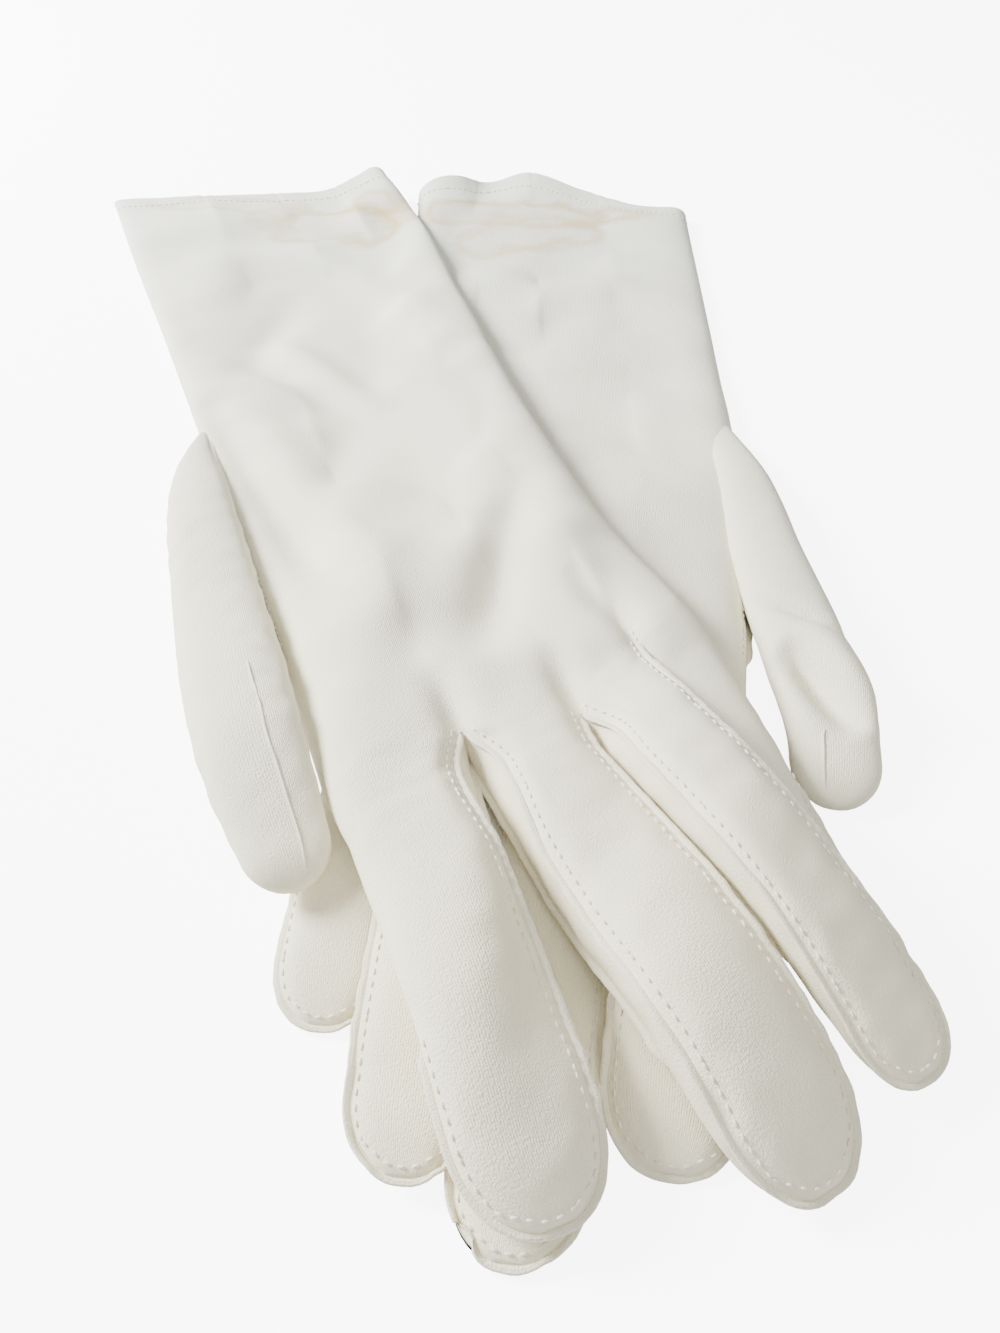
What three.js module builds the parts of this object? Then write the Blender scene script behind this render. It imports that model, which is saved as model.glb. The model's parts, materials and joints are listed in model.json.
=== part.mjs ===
// A pair of mid-length dress gloves laid one across the other, palms down.
// Millimetres, +Z up. The right glove lies on the table and the left glove is draped over it.
import * as THREE from 'three';

// Cloth and seams.
const CLOTH = 1.0;
const SEAM_GAP = 0.3;
const GLOVE_HEIGHT = 7.0;
const TIP_HEIGHT = 4.2;
const FOURCHETTE_HEIGHT = 3.0;
const FOURCHETTE_TIP_HEIGHT = 0.8;

// The hand and sleeve of either glove, flat widths.
const CUFF_WIDTH = 88;
const WRIST_WIDTH = 72;
const KNUCKLE_WIDTH = 73;
const WRIST_SHARE = 0.6;
const KNUCKLE_DROP_LITTLE = 3;
const KNUCKLE_DROP_INDEX = 1;

// Fingers: length from the fold line a little past the crotches, width, and share of the knuckle width each base takes.
const INDEX_LENGTH = 60;
const MIDDLE_LENGTH = 69;
const RING_LENGTH = 62;
const LITTLE_LENGTH = 43;
const INDEX_WIDTH = 20;
const MIDDLE_WIDTH = 20;
const RING_WIDTH = 16;
const LITTLE_WIDTH = 15;
const INDEX_BASE = 23;
const MIDDLE_BASE = 18.5;
const RING_BASE = 15.5;

// Thumb: it starts beside the wrist and is sewn to the edge of the hand.
const THUMB_START = 0.56;
const THUMB_WIDTH = 16;
const THUMB_BASE_WIDTH = 8;
const THUMB_HEIGHT = 8;
const GUSSET_PLACE = 0.52;
const GUSSET_LENGTH = 34;
const GUSSET_WIDTH = 4.2;
const GUSSET_HEIGHT = 2.4;

// The little finger of the left glove is tucked under the ring finger.
const TUCK_HEIGHT = 3.4;
const TUCK_GAP = 0.6;
const TUCK_RISE = 8;
const TUCK_TRIM = 2.8;

// How the left glove is held up by the one below it.
const DRAPE_CLEARANCE = 0.8;
const DRAPE_MARGIN = 6;
const DRAPE_FALL = 25;
const DRAPE_HEIGHT = GLOVE_HEIGHT + DRAPE_CLEARANCE;

// Where the pair's centre sits, so that the origin is under the middle of it.
const CENTRE_X = -31.0;
const CENTRE_Y = 189.2;

// How each glove lies: cuff centre, turn in the plane, sleeve and hand length to the knuckles,
// sideways bow of the hand at the cuff, wrist and knuckles, slope of the hem, and the turn of
// each digit from the glove's own length. The fingers of the glove underneath are pressed narrower.
const LEFT_LAY = {
  name: 'left',
  thumbSide: -1,
  cuff: [-77.6, 332],
  turn: 20.5,
  length: 249,
  bow: [0, 3, 1.5],
  hemOffset: -8,
  hemSlope: -0.28,
  turns: { index: -0.5, middle: -9.2, ring: -13.2, little: -1 },
  digitShare: 1,
  thumbTurn: 1.3,
  thumbStandOff: 1.8,
  thumbLength: 126,
  tucked: true,
  draped: true,
};
const RIGHT_LAY = {
  name: 'right',
  thumbSide: 1,
  cuff: [14, 333],
  turn: -2.6,
  length: 235,
  bow: [2, 10, 2.5],
  hemOffset: -5,
  hemSlope: 0.2,
  turns: { index: -6, middle: -4, ring: -3.2, little: -3 },
  digitShare: 0.82,
  thumbTurn: -1,
  thumbStandOff: 1.2,
  thumbLength: 106,
  tucked: false,
  draped: false,
};

// Sampling of the surfaces.
const HAND_ROWS = 17;
const HAND_COLUMNS = [-1, -0.97, -0.89, -0.62, -0.31, 0, 0.31, 0.62, 0.89, 0.97, 1];
const DIGIT_COLUMNS = [-1, -0.92, -0.7, 0, 0.7, 0.92, 1];
const DIGIT_ROWS = [0, 0.15, 0.32, 0.5, 0.68, 0.82, 0.91, 0.96, 0.985];
const HAND_EDGE_POWER = 24;
const DIGIT_EDGE_POWER = 8;
const THUMB_ROWS = [0, 0.12, 0.25, 0.4, 0.46, 0.52, 0.58, 0.66, 0.78, 0.88, 0.94, 0.985];
const GUSSET_STEPS = 6;
const OUTLINE_STEPS = 8;

const IVORY = new THREE.MeshStandardMaterial({ color: '#ebe7da', roughness: 0.85, metalness: 0 });

const group = new THREE.Group();
group.name = 'opera_gloves';

const lerp = (a, b, k) => a + (b - a) * k;
const radians = (degrees) => (degrees * Math.PI) / 180;

function smoothStep(x) {
  const k = Math.min(Math.max(x, 0), 1);
  return k * k * (3 - 2 * k);
}

// Position on the table of a point given along the glove (s) and across it (t, thumb side positive).
function onTable(lay, s, t) {
  const along = [Math.sin(radians(lay.turn)), -Math.cos(radians(lay.turn))];
  const across = [-along[1] * lay.thumbSide, along[0] * lay.thumbSide];
  const x = lay.cuff[0] + s * along[0] + t * across[0];
  const y = lay.cuff[1] + s * along[1] + t * across[1];
  return [x - CENTRE_X, y - CENTRE_Y];
}

// Middle line and half width of the hand at a share of its length.
function handMiddle(lay, share) {
  const [cuff, wrist, knuckle] = lay.bow;
  const w = WRIST_SHARE;
  const atCuff = ((share - w) * (share - 1)) / w;
  const atWrist = (share * (share - 1)) / (w * (w - 1));
  const atKnuckle = (share * (share - w)) / (1 - w);
  return cuff * atCuff + wrist * atWrist + knuckle * atKnuckle;
}

function handHalf(share) {
  const toWrist = Math.min(share / WRIST_SHARE, 1);
  const past = Math.max((share - WRIST_SHARE) / (1 - WRIST_SHARE), 0);
  return (lerp(CUFF_WIDTH, WRIST_WIDTH, toWrist) + lerp(0, KNUCKLE_WIDTH - WRIST_WIDTH, past)) / 2;
}

function hemLine(lay, t) {
  return lay.hemOffset + lay.hemSlope * t;
}

// The line across the roots of the fingers where they fold. It lies a little past the crotches.
function knuckleLine(lay, t) {
  const middle = lay.bow[2];
  const towardLittle = Math.max((middle - t) / (KNUCKLE_WIDTH / 2), 0);
  const towardIndex = Math.max((t - middle) / (KNUCKLE_WIDTH / 2), 0);
  const drop = KNUCKLE_DROP_LITTLE * towardLittle ** 1.6 + KNUCKLE_DROP_INDEX * towardIndex ** 2;
  return lay.length - drop;
}

function handPoint(lay, share, v) {
  const t = handMiddle(lay, share) + v * handHalf(share);
  const s = lerp(hemLine(lay, t), knuckleLine(lay, t) - SEAM_GAP / 2, share);
  return [s, t];
}

// Finger layout across the knuckles, from the thumb side.
function fingerPlans(lay) {
  const thumbEdge = lay.bow[2] + KNUCKLE_WIDTH / 2;
  const littleBase = KNUCKLE_WIDTH - INDEX_BASE - MIDDLE_BASE - RING_BASE;
  const rows = [
    ['index', INDEX_BASE, INDEX_LENGTH, INDEX_WIDTH],
    ['middle', MIDDLE_BASE, MIDDLE_LENGTH, MIDDLE_WIDTH],
    ['ring', RING_BASE, RING_LENGTH, RING_WIDTH],
    ['little', littleBase, LITTLE_LENGTH, LITTLE_WIDTH],
  ];
  let edge = thumbEdge;
  const plans = [];
  for (const [name, base, length, flatWidth] of rows) {
    const t = edge - base / 2;
    const s = knuckleLine(lay, t);
    const width = flatWidth * lay.digitShare;
    plans.push({ name, base, length, width, grow: 0.3, t, s, turn: lay.turns[name] });
    edge -= base;
  }
  return plans;
}

// Half width of a finger at a share of its length: base width, then even, then a round tip.
function digitHalf(plan, share) {
  const along = share * plan.length;
  const radius = plan.width / 2;
  const even = lerp(plan.base / 2 - SEAM_GAP / 2, radius, smoothStep(share / plan.grow));
  const intoTip = Math.max((along - (plan.length - radius)) / radius, 0);
  return even * Math.sqrt(1 - intoTip * intoTip);
}

// Point of a finger along (share of its length) and across (-1 little side to 1 thumb side).
function digitPoint(lay, plan, share, offset) {
  const turn = radians(plan.turn);
  const straight = [Math.cos(turn), Math.sin(turn)];
  const flat = [plan.s + share * plan.length * straight[0], plan.t + share * plan.length * straight[1]];
  const s = flat[0] - offset * straight[1];
  const t = flat[1] + offset * straight[0];
  const atBase = share === 0 && plan.follows !== false;
  return atBase ? [knuckleLine(lay, t) + SEAM_GAP / 2, t] : [s, t];
}

// Outlines of the lower glove, used to lift the upper one clear of it.
function handOutline(lay) {
  const rim = [];
  for (const side of [1, -1]) {
    for (let i = 0; i <= OUTLINE_STEPS; i += 1) {
      const share = side > 0 ? i / OUTLINE_STEPS : 1 - i / OUTLINE_STEPS;
      rim.push(onTable(lay, ...handPoint(lay, share, side)));
    }
  }
  return rim;
}

function digitOutline(lay, plan) {
  const rim = [];
  for (const side of [1, -1]) {
    const shares = side > 0 ? DIGIT_ROWS : [...DIGIT_ROWS].reverse();
    for (const share of shares) {
      rim.push(onTable(lay, ...digitPoint(lay, plan, share, side * digitHalf(plan, share))));
    }
  }
  return rim;
}

function edgeDistance(point, a, b) {
  const span = [b[0] - a[0], b[1] - a[1]];
  const to = [point[0] - a[0], point[1] - a[1]];
  const size = span[0] * span[0] + span[1] * span[1];
  const k = Math.min(Math.max((to[0] * span[0] + to[1] * span[1]) / Math.max(size, 1e-9), 0), 1);
  return Math.hypot(to[0] - k * span[0], to[1] - k * span[1]);
}

function crossesRay(point, a, b) {
  if (a[1] > point[1] === b[1] > point[1]) {
    return false;
  }
  return point[0] < a[0] + ((b[0] - a[0]) * (point[1] - a[1])) / (b[1] - a[1]);
}

function distanceOutside(point, rim) {
  let inside = false;
  let nearest = Infinity;
  rim.forEach((a, i) => {
    const b = rim[(i + 1) % rim.length];
    inside = crossesRay(point, a, b) ? !inside : inside;
    nearest = Math.min(nearest, edgeDistance(point, a, b));
  });
  return inside ? 0 : nearest;
}

const underneath = [
  handOutline(RIGHT_LAY),
  ...fingerPlans(RIGHT_LAY).map((plan) => digitOutline(RIGHT_LAY, plan)),
];

function drape(lay, x, y) {
  if (!lay.draped) {
    return 0;
  }
  const away = Math.min(...underneath.map((rim) => distanceOutside([x, y], rim)));
  return DRAPE_HEIGHT * (1 - smoothStep((away - DRAPE_MARGIN) / DRAPE_FALL));
}

function inSpace(lay, s, t, z) {
  const [x, y] = onTable(lay, s, t);
  return [x, y, z + drape(lay, x, y)];
}

// A closed layer between an outer and an inner grid of points with the same rows and columns.
function layer(outer, inner) {
  const rows = outer.length;
  const columns = outer[0].length;
  const points = [...outer.flat(), ...inner.flat()];
  const at = (side, i, j) => side * rows * columns + i * columns + j;
  const faces = [];
  const quad = (a, b, c, d) => faces.push(a, b, c, a, c, d);
  for (let i = 0; i < rows - 1; i += 1) {
    for (let j = 0; j < columns - 1; j += 1) {
      quad(at(0, i, j), at(0, i, j + 1), at(0, i + 1, j + 1), at(0, i + 1, j));
      quad(at(1, i, j), at(1, i + 1, j), at(1, i + 1, j + 1), at(1, i, j + 1));
    }
  }
  for (let i = 0; i < rows - 1; i += 1) {
    const last = columns - 1;
    quad(at(0, i, 0), at(0, i + 1, 0), at(1, i + 1, 0), at(1, i, 0));
    quad(at(0, i + 1, last), at(0, i, last), at(1, i, last), at(1, i + 1, last));
  }
  for (let j = 0; j < columns - 1; j += 1) {
    const last = rows - 1;
    quad(at(0, 0, j + 1), at(0, 0, j), at(1, 0, j), at(1, 0, j + 1));
    quad(at(0, last, j), at(0, last, j + 1), at(1, last, j + 1), at(1, last, j));
  }
  return { points, faces };
}

function signedVolume(points, faces) {
  let sum = 0;
  for (let i = 0; i < faces.length; i += 3) {
    const [a, b, c] = [points[faces[i]], points[faces[i + 1]], points[faces[i + 2]]];
    sum += a[0] * (b[1] * c[2] - b[2] * c[1]);
    sum += a[1] * (b[2] * c[0] - b[0] * c[2]);
    sum += a[2] * (b[0] * c[1] - b[1] * c[0]);
  }
  return sum / 6;
}

function addPiece(name, outer, inner) {
  const { points, faces } = layer(outer, inner);
  if (signedVolume(points, faces) < 0) {
    faces.reverse();
  }
  const geometry = new THREE.BufferGeometry();
  geometry.setAttribute('position', new THREE.Float32BufferAttribute(points.flat(), 3));
  geometry.setIndex(faces);
  geometry.computeVertexNormals();
  const mesh = new THREE.Mesh(geometry, IVORY);
  mesh.name = name;
  group.add(mesh);
}

// Height of a layer's outside above the middle: full over the width, down to `rest` at the edge.
function swell(v, power, rest, full) {
  return rest + (full - rest) * Math.sqrt(1 - Math.abs(v) ** power);
}

// One half of the hand and sleeve. `up` is 1 for the back of the hand and -1 for the palm.
function handLayer(lay, up) {
  const outer = [];
  const inner = [];
  for (let i = 0; i < HAND_ROWS; i += 1) {
    const share = i / (HAND_ROWS - 1);
    const half = handHalf(share);
    const place = (v, full, width) => {
      const z = GLOVE_HEIGHT / 2 + up * swell(v, HAND_EDGE_POWER, SEAM_GAP / 2, full);
      return inSpace(lay, ...handPoint(lay, share, v * width), z);
    };
    outer.push(HAND_COLUMNS.map((v) => place(v, GLOVE_HEIGHT / 2, 1)));
    inner.push(HAND_COLUMNS.map((v) => place(v, GLOVE_HEIGHT / 2 - CLOTH, 1 - CLOTH / half)));
  }
  return [outer, inner];
}

// Full height, fourchette height and base level of a finger at a share of its length.
function digitHeights(plan, share) {
  const taper = smoothStep((share - 0.45) / 0.55);
  const full = lerp(plan.height, Math.min(TIP_HEIGHT, plan.height), taper);
  const tall = Math.min(FOURCHETTE_HEIGHT, plan.height - 2 * CLOTH - 1);
  const side = lerp(tall, FOURCHETTE_TIP_HEIGHT, taper);
  const lift = plan.lift * smoothStep((share * plan.length) / TUCK_RISE);
  const sink = lerp(GLOVE_HEIGHT, full, smoothStep((share * plan.length) / TUCK_RISE));
  return { full: plan.tuck ? sink : full, side: plan.tuck ? Math.min(side, 0.8) : side, lift };
}

// Half width toward one side, with the inner side of the tucked finger kept clear of its neighbour.
function sideHalf(plan, share, v) {
  const half = digitHalf(plan, share);
  const under = smoothStep((share * plan.length - TUCK_RISE) / TUCK_RISE);
  const trim = plan.tuck && v > 0 ? TUCK_TRIM * (1 - under) * Math.min(share * 10, 1) : 0;
  const bite = v < 0 ? gussetDepth(plan, share) : 0;
  return half - trim - bite;
}

// One half of a finger. `walls` tells which sides have a fourchette between the halves.
function digitLayer(lay, plan, up) {
  const outer = [];
  const inner = [];
  for (const share of plan.name === 'thumb' ? THUMB_ROWS : DIGIT_ROWS) {
    const { full, side, lift } = digitHeights(plan, share);
    const place = (v, reach, trim) => {
      const rest = plan.walls[v > 0 ? 1 : 0] ? side / 2 + SEAM_GAP : SEAM_GAP / 2;
      const z = full / 2 + up * swell(v, DIGIT_EDGE_POWER, rest, reach);
      const offset = v * (sideHalf(plan, share, v) - trim);
      return inSpace(lay, ...digitPoint(lay, plan, share, offset), z + lift);
    };
    outer.push(DIGIT_COLUMNS.map((v) => place(v, full / 2, 0)));
    inner.push(DIGIT_COLUMNS.map((v) => place(v, full / 2 - CLOTH, CLOTH)));
  }
  return [outer, inner];
}

// The narrow strip between the back and palm halves of a finger, on one side of it.
function fourchetteLayer(lay, plan, sign) {
  const outer = [];
  const inner = [];
  for (const share of DIGIT_ROWS.slice(0, -1)) {
    const { full, side, lift } = digitHeights(plan, share);
    const half = sideHalf(plan, share, sign);
    const place = (offset, z) => inSpace(lay, ...digitPoint(lay, plan, share, sign * offset), z + lift);
    const levels = [full / 2 - side / 2, full / 2 + side / 2];
    outer.push(levels.map((z) => place(half, z)));
    inner.push(levels.map((z) => place(half - CLOTH, z)));
  }
  return [outer, inner];
}

// Depth of the leaf-shaped bite out of the thumb's inner edge that the gusset fills.
function gussetDepth(plan, share) {
  const k = ((share - GUSSET_PLACE) * plan.length) / (GUSSET_LENGTH / 2);
  return plan.name === 'thumb' ? GUSSET_WIDTH * Math.max(1 - k * k, 0) : 0;
}

function thumbPlan(lay) {
  const share = THUMB_START;
  const edge = handMiddle(lay, share) + handHalf(share);
  const s = lerp(hemLine(lay, edge), knuckleLine(lay, edge), share);
  return {
    name: 'thumb',
    base: THUMB_BASE_WIDTH,
    length: lay.thumbLength,
    width: THUMB_WIDTH,
    grow: 0.75,
    height: THUMB_HEIGHT,
    lift: 0,
    walls: [false, false],
    follows: false,
    s,
    t: edge + THUMB_BASE_WIDTH / 2 + lay.thumbStandOff,
    turn: lay.thumbTurn,
  };
}

// The gusset fills the bite between the hand's edge and the thumb.
function gussetLayer(lay, thumb, level) {
  const rows = [];
  const reach = (GUSSET_LENGTH / 2 / thumb.length) * 0.9;
  for (let i = 0; i <= GUSSET_STEPS; i += 1) {
    const share = GUSSET_PLACE + lerp(-reach, reach, i / GUSSET_STEPS);
    const edge = -digitHalf(thumb, share);
    const bite = gussetDepth(thumb, share) - SEAM_GAP;
    const sides = [edge, edge + bite];
    rows.push(sides.map((offset) => inSpace(lay, ...digitPoint(lay, thumb, share, offset), level)));
  }
  return rows;
}

function addFinger(lay, plan, walls) {
  const tucked = lay.tucked && plan.name === 'little';
  const raised = lay.tucked && plan.name === 'ring';
  const height = tucked ? TUCK_HEIGHT : GLOVE_HEIGHT;
  const lift = raised ? TUCK_HEIGHT + TUCK_GAP : 0;
  const full = { ...plan, walls, height, lift, tuck: tucked };
  addPiece(`${lay.name}_${plan.name}_finger_back`, ...digitLayer(lay, full, 1));
  addPiece(`${lay.name}_${plan.name}_finger_palm`, ...digitLayer(lay, full, -1));
  const sides = ['little_side', 'thumb_side'];
  walls.forEach((present, i) => {
    if (present) {
      const name = `${lay.name}_${plan.name}_fourchette_${sides[i]}`;
      addPiece(name, ...fourchetteLayer(lay, full, i === 0 ? -1 : 1));
    }
  });
}

function addGlove(lay) {
  addPiece(`${lay.name}_hand_back`, ...handLayer(lay, 1));
  addPiece(`${lay.name}_hand_palm`, ...handLayer(lay, -1));
  const walls = { index: [true, false], middle: [true, true], ring: [true, true], little: [false, true] };
  for (const plan of fingerPlans(lay)) {
    addFinger(lay, plan, walls[plan.name]);
  }
  const thumb = thumbPlan(lay);
  addPiece(`${lay.name}_thumb_outer`, ...digitLayer(lay, thumb, 1));
  addPiece(`${lay.name}_thumb_inner`, ...digitLayer(lay, thumb, -1));
  const middle = THUMB_HEIGHT / 2;
  const top = gussetLayer(lay, thumb, middle + GUSSET_HEIGHT / 2);
  const bottom = gussetLayer(lay, thumb, middle - GUSSET_HEIGHT / 2);
  addPiece(`${lay.name}_thumb_gusset`, top, bottom);
}

addGlove(RIGHT_LAY);
addGlove(LEFT_LAY);

export default group;
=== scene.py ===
import json
import logging
import math
from dataclasses import dataclass, field
from enum import Enum
from typing import Iterable, Sequence

import bpy
import numpy as np
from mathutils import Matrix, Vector, noise

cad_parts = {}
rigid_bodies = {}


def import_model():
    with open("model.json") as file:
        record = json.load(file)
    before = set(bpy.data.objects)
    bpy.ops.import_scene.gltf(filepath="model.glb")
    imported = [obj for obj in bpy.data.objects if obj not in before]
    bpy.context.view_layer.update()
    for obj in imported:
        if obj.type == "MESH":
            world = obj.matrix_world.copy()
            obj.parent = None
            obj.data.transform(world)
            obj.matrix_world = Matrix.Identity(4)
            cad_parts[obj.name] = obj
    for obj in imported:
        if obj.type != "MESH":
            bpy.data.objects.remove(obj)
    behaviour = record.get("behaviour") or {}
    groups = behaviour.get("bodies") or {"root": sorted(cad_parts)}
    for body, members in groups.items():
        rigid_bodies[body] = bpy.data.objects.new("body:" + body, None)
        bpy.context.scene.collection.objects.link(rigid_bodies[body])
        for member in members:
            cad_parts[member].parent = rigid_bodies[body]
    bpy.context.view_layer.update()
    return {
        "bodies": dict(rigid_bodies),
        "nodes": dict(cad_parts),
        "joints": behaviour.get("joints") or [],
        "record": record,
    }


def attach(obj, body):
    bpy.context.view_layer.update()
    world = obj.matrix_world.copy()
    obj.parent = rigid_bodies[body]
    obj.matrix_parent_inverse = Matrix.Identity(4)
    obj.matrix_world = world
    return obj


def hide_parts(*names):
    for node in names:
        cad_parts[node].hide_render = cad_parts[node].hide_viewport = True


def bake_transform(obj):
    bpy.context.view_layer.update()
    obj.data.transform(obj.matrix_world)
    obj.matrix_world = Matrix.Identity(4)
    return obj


LOG = logging.getLogger("dress_gloves")
MM = 0.001

# The middle of the pair on the table, measured from the point under the camera.
PAIR_CENTRE = np.array([-31.0, 189.2])

# Across each finger the columns crowd toward the seams, where the cloth turns over.
FINGER_COLUMNS = np.array([-1.0, -0.9, -0.7, -0.38, 0.0, 0.38, 0.7, 0.9, 1.0])
SPAN = len(FINGER_COLUMNS) - 1
WALL_CELLS = 3
HAND_ROWS = 84
FINGER_ROWS = 32
THUMB_ROWS = 40
THUMB_RING = 24
FINGERS = ("index", "middle", "ring", "little")

# The part of the table that the height field covers, in row-frame millimetres.
FIELD = ((-150.0, -220.0), (150.0, 220.0))
# The gap between the gloves, and how steeply the upper one falls away beside the lower.
LAYER_GAP = 0.6
DRAPE_SLOPE = 0.34

# Share of the finger at which the seam appears on the outer side of the index and the little finger.
OUTER_STITCH_START = {"index": 0.62, "little": 0.55}
# Share of the finger over which the palm seam's edge is drawn.
PALM_EDGE_END = 0.72


def smooth_step(x: np.ndarray | float) -> np.ndarray:
    """Zero below 0, one above 1 and an even S between."""
    k = np.clip(x, 0.0, 1.0)
    return k * k * (3 - 2 * k)


@dataclass(frozen=True)
class Curve:
    """A smooth line through a few chosen knots."""

    knots: tuple[tuple[float, float], ...]

    def at(self, x: np.ndarray | float) -> np.ndarray:
        """Value of the line at x.

        Args:
            x: Place or places along the line, held to its ends.

        Returns:
            The value at each place.
        """
        xs, ys = np.array(self.knots, float).T
        place = np.clip(np.asarray(x, float), xs[0], xs[-1])
        slopes = np.gradient(ys, xs) if len(xs) > 2 else np.full(2, (ys[1] - ys[0]) / (xs[1] - xs[0]))
        i = np.clip(np.searchsorted(xs, place, side="right") - 1, 0, len(xs) - 2)
        step = xs[i + 1] - xs[i]
        k = (place - xs[i]) / step
        rise = ys[i + 1] - ys[i]
        first = slopes[i] * step
        last = slopes[i + 1] * step
        return ys[i] + k * first + k * k * (3 * rise - 2 * first - last) + k**3 * (first + last - 2 * rise)


@dataclass(frozen=True)
class FingerLay:
    """How one finger lies: its base and tip on the glove's own axes, and its thickness."""

    tip: tuple[float, float]
    half: Curve
    height: Curve
    lift: Curve = Curve(((0, 0), (1, 0)))
    open_sides: tuple[float, float] = (0.0, 0.0)
    wall: float = 0.68
    point: float = 1.2


@dataclass(frozen=True)
class ThumbLay:
    """How the thumb lies: its middle line, width, thickness and height above the table."""

    line: tuple[tuple[float, float], ...]
    half: Curve
    height: Curve
    rise: Curve


@dataclass(frozen=True)
class Fold:
    """A soft ridge or groove of the cloth, from one point to another on the glove's own axes."""

    start: tuple[float, float]
    end: tuple[float, float]
    height: float
    width: float


@dataclass(frozen=True)
class GloveLay:
    """How one glove lies on the table, in millimetres along (s) and across (t) the glove."""

    name: str
    thumb_side: int
    cuff: tuple[float, float]
    turn: float
    thumb_edge: Curve
    little_edge: Curve
    hem: Curve
    hem_rise: Curve
    crotches: tuple[tuple[float, float], ...]
    edge_ends: tuple[float, float]
    fingers: dict[str, FingerLay]
    thumb: ThumbLay
    thickness: Curve
    folds: tuple[Fold, ...] = ()
    slack: float = 0.03
    thumb_hole: tuple[float, float] = (134.0, 206.0)
    thumb_seam: float = 0.6
    gusset: tuple[float, float, float] = (202.0, 40.2, 5.3)

    def on_table(self, s: np.ndarray, t: np.ndarray) -> tuple[np.ndarray, np.ndarray]:
        """Row-frame x and y, in millimetres, of a point along and across the glove."""
        turn = math.radians(self.turn)
        along = (math.sin(turn), -math.cos(turn))
        across = (-along[1] * self.thumb_side, along[0] * self.thumb_side)
        x = self.cuff[0] + s * along[0] + t * across[0] - PAIR_CENTRE[0]
        y = self.cuff[1] + s * along[1] + t * across[1] - PAIR_CENTRE[1]
        return x, y


LEFT_GLOVE = GloveLay(
    name="left",
    thumb_side=-1,
    cuff=(-77.6, 332.0),
    turn=20.5,
    thumb_edge=Curve(((-24, 44.5), (30, 43), (75, 41), (133, 39), (165, 37.8), (200, 37), (246, 37))),
    little_edge=Curve(((-4, -42), (20, -44), (90, -38.5), (162, -32.8), (196, -31), (222, -34.2),
                       (246, -35))),
    hem=Curve(((-46, 11), (-43, 5), (-38, 2), (-20, -2), (10, -10.5), (45, -21.5))),
    hem_rise=Curve(((-46, 2.5), (-42, 6.5), (-34, 4.5), (-24, 1.0), (-10, 0.3), (20, 0), (45, 0))),
    crotches=((240.7, 13.5), (243.8, -5.3), (230.6, -20.5)),
    edge_ends=(243.0, 224.0),
    fingers={
        "index": FingerLay((309.5, 25.4), Curve(((0, 11.8), (0.4, 10.6), (0.8, 9.8), (1, 9.6))),
                           Curve(((0, 7.5), (0.3, 9), (0.75, 8), (1, 3))), open_sides=(0.0, 0.9)),
        "middle": FingerLay((316.8, -6.4), Curve(((0, 9.4), (0.4, 10.0), (0.8, 9.7), (1, 9.4))),
                            Curve(((0, 7.5), (0.3, 9), (0.75, 8), (1, 3))), open_sides=(1.0, 0.35)),
        "ring": FingerLay((310.0, -25.0), Curve(((0, 7.6), (0.4, 8.0), (0.8, 7.8), (1, 7.6))),
                          Curve(((0, 7), (0.3, 8.5), (0.75, 7.5), (1, 3))),
                          lift=Curve(((0, 0), (0.18, 2.6), (0.3, 3.4), (1, 3.0))), open_sides=(0.9, 0.2)),
        "little": FingerLay((290.0, -25.5), Curve(((0, 7.2), (0.4, 7.6), (0.8, 7.2), (1, 7))),
                            Curve(((0, 6.5), (0.3, 4.4), (0.75, 3.8), (1, 2))), wall=0.86),
    },
    thumb=ThumbLay(
        line=((127, 37.6), (140, 40.6), (155, 42.6), (180, 44.0), (212, 45.0), (236, 45.0), (258.0, 43.6)),
        half=Curve(((0, 1.6), (0.07, 3.6), (0.16, 5.8), (0.3, 7.4), (0.45, 8.2), (0.75, 8.8),
                    (0.88, 7.8), (1, 5.8))),
        height=Curve(((0, 3), (0.25, 8.5), (0.5, 10), (0.8, 9), (1, 4))),
        rise=Curve(((0, 0.3), (0.3, 0.3), (0.5, 1.2), (0.65, 4.0), (0.78, 7.0), (1, 7.8))),
    ),
    thickness=Curve(((-25, 3.2), (40, 3.4), (130, 4.6), (190, 6.4), (246, 7.2))),
    folds=(
        Fold((118, 35), (198, 24), -3.0, 4.2),
        Fold((124, 26), (194, 15), 1.9, 6.5),
        Fold((92, 13), (134, -2), 2.2, 4.6),
        Fold((98, 20), (130, 8), -1.4, 4.6),
        Fold((182, -19), (224, 4), -3.2, 5.0),
        Fold((178, -29), (230, -10), 2.0, 6.5),
        Fold((136, -13), (202, 9), -1.9, 8.0),
        Fold((150, 4), (190, 20), 1.2, 7.0),
        Fold((58, -16), (112, -28), 1.7, 7.0),
        Fold((66, 2), (106, 26), -1.5, 6.0),
        Fold((28, 18), (88, 30), 1.2, 9.0),
        Fold((262, 20), (296, 28), 0.9, 4.5),
        Fold((270, 16), (300, 22), -0.7, 4.0),
        Fold((255, -2), (300, -10), -0.7, 5.0),
        Fold((228, 13.5), (241, 13.5), -1.2, 3.0),
        Fold((230, -5.3), (243, -5.3), -1.0, 2.6),
        Fold((214, -17), (229, -20), -1.2, 2.6),
    ),
)

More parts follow.
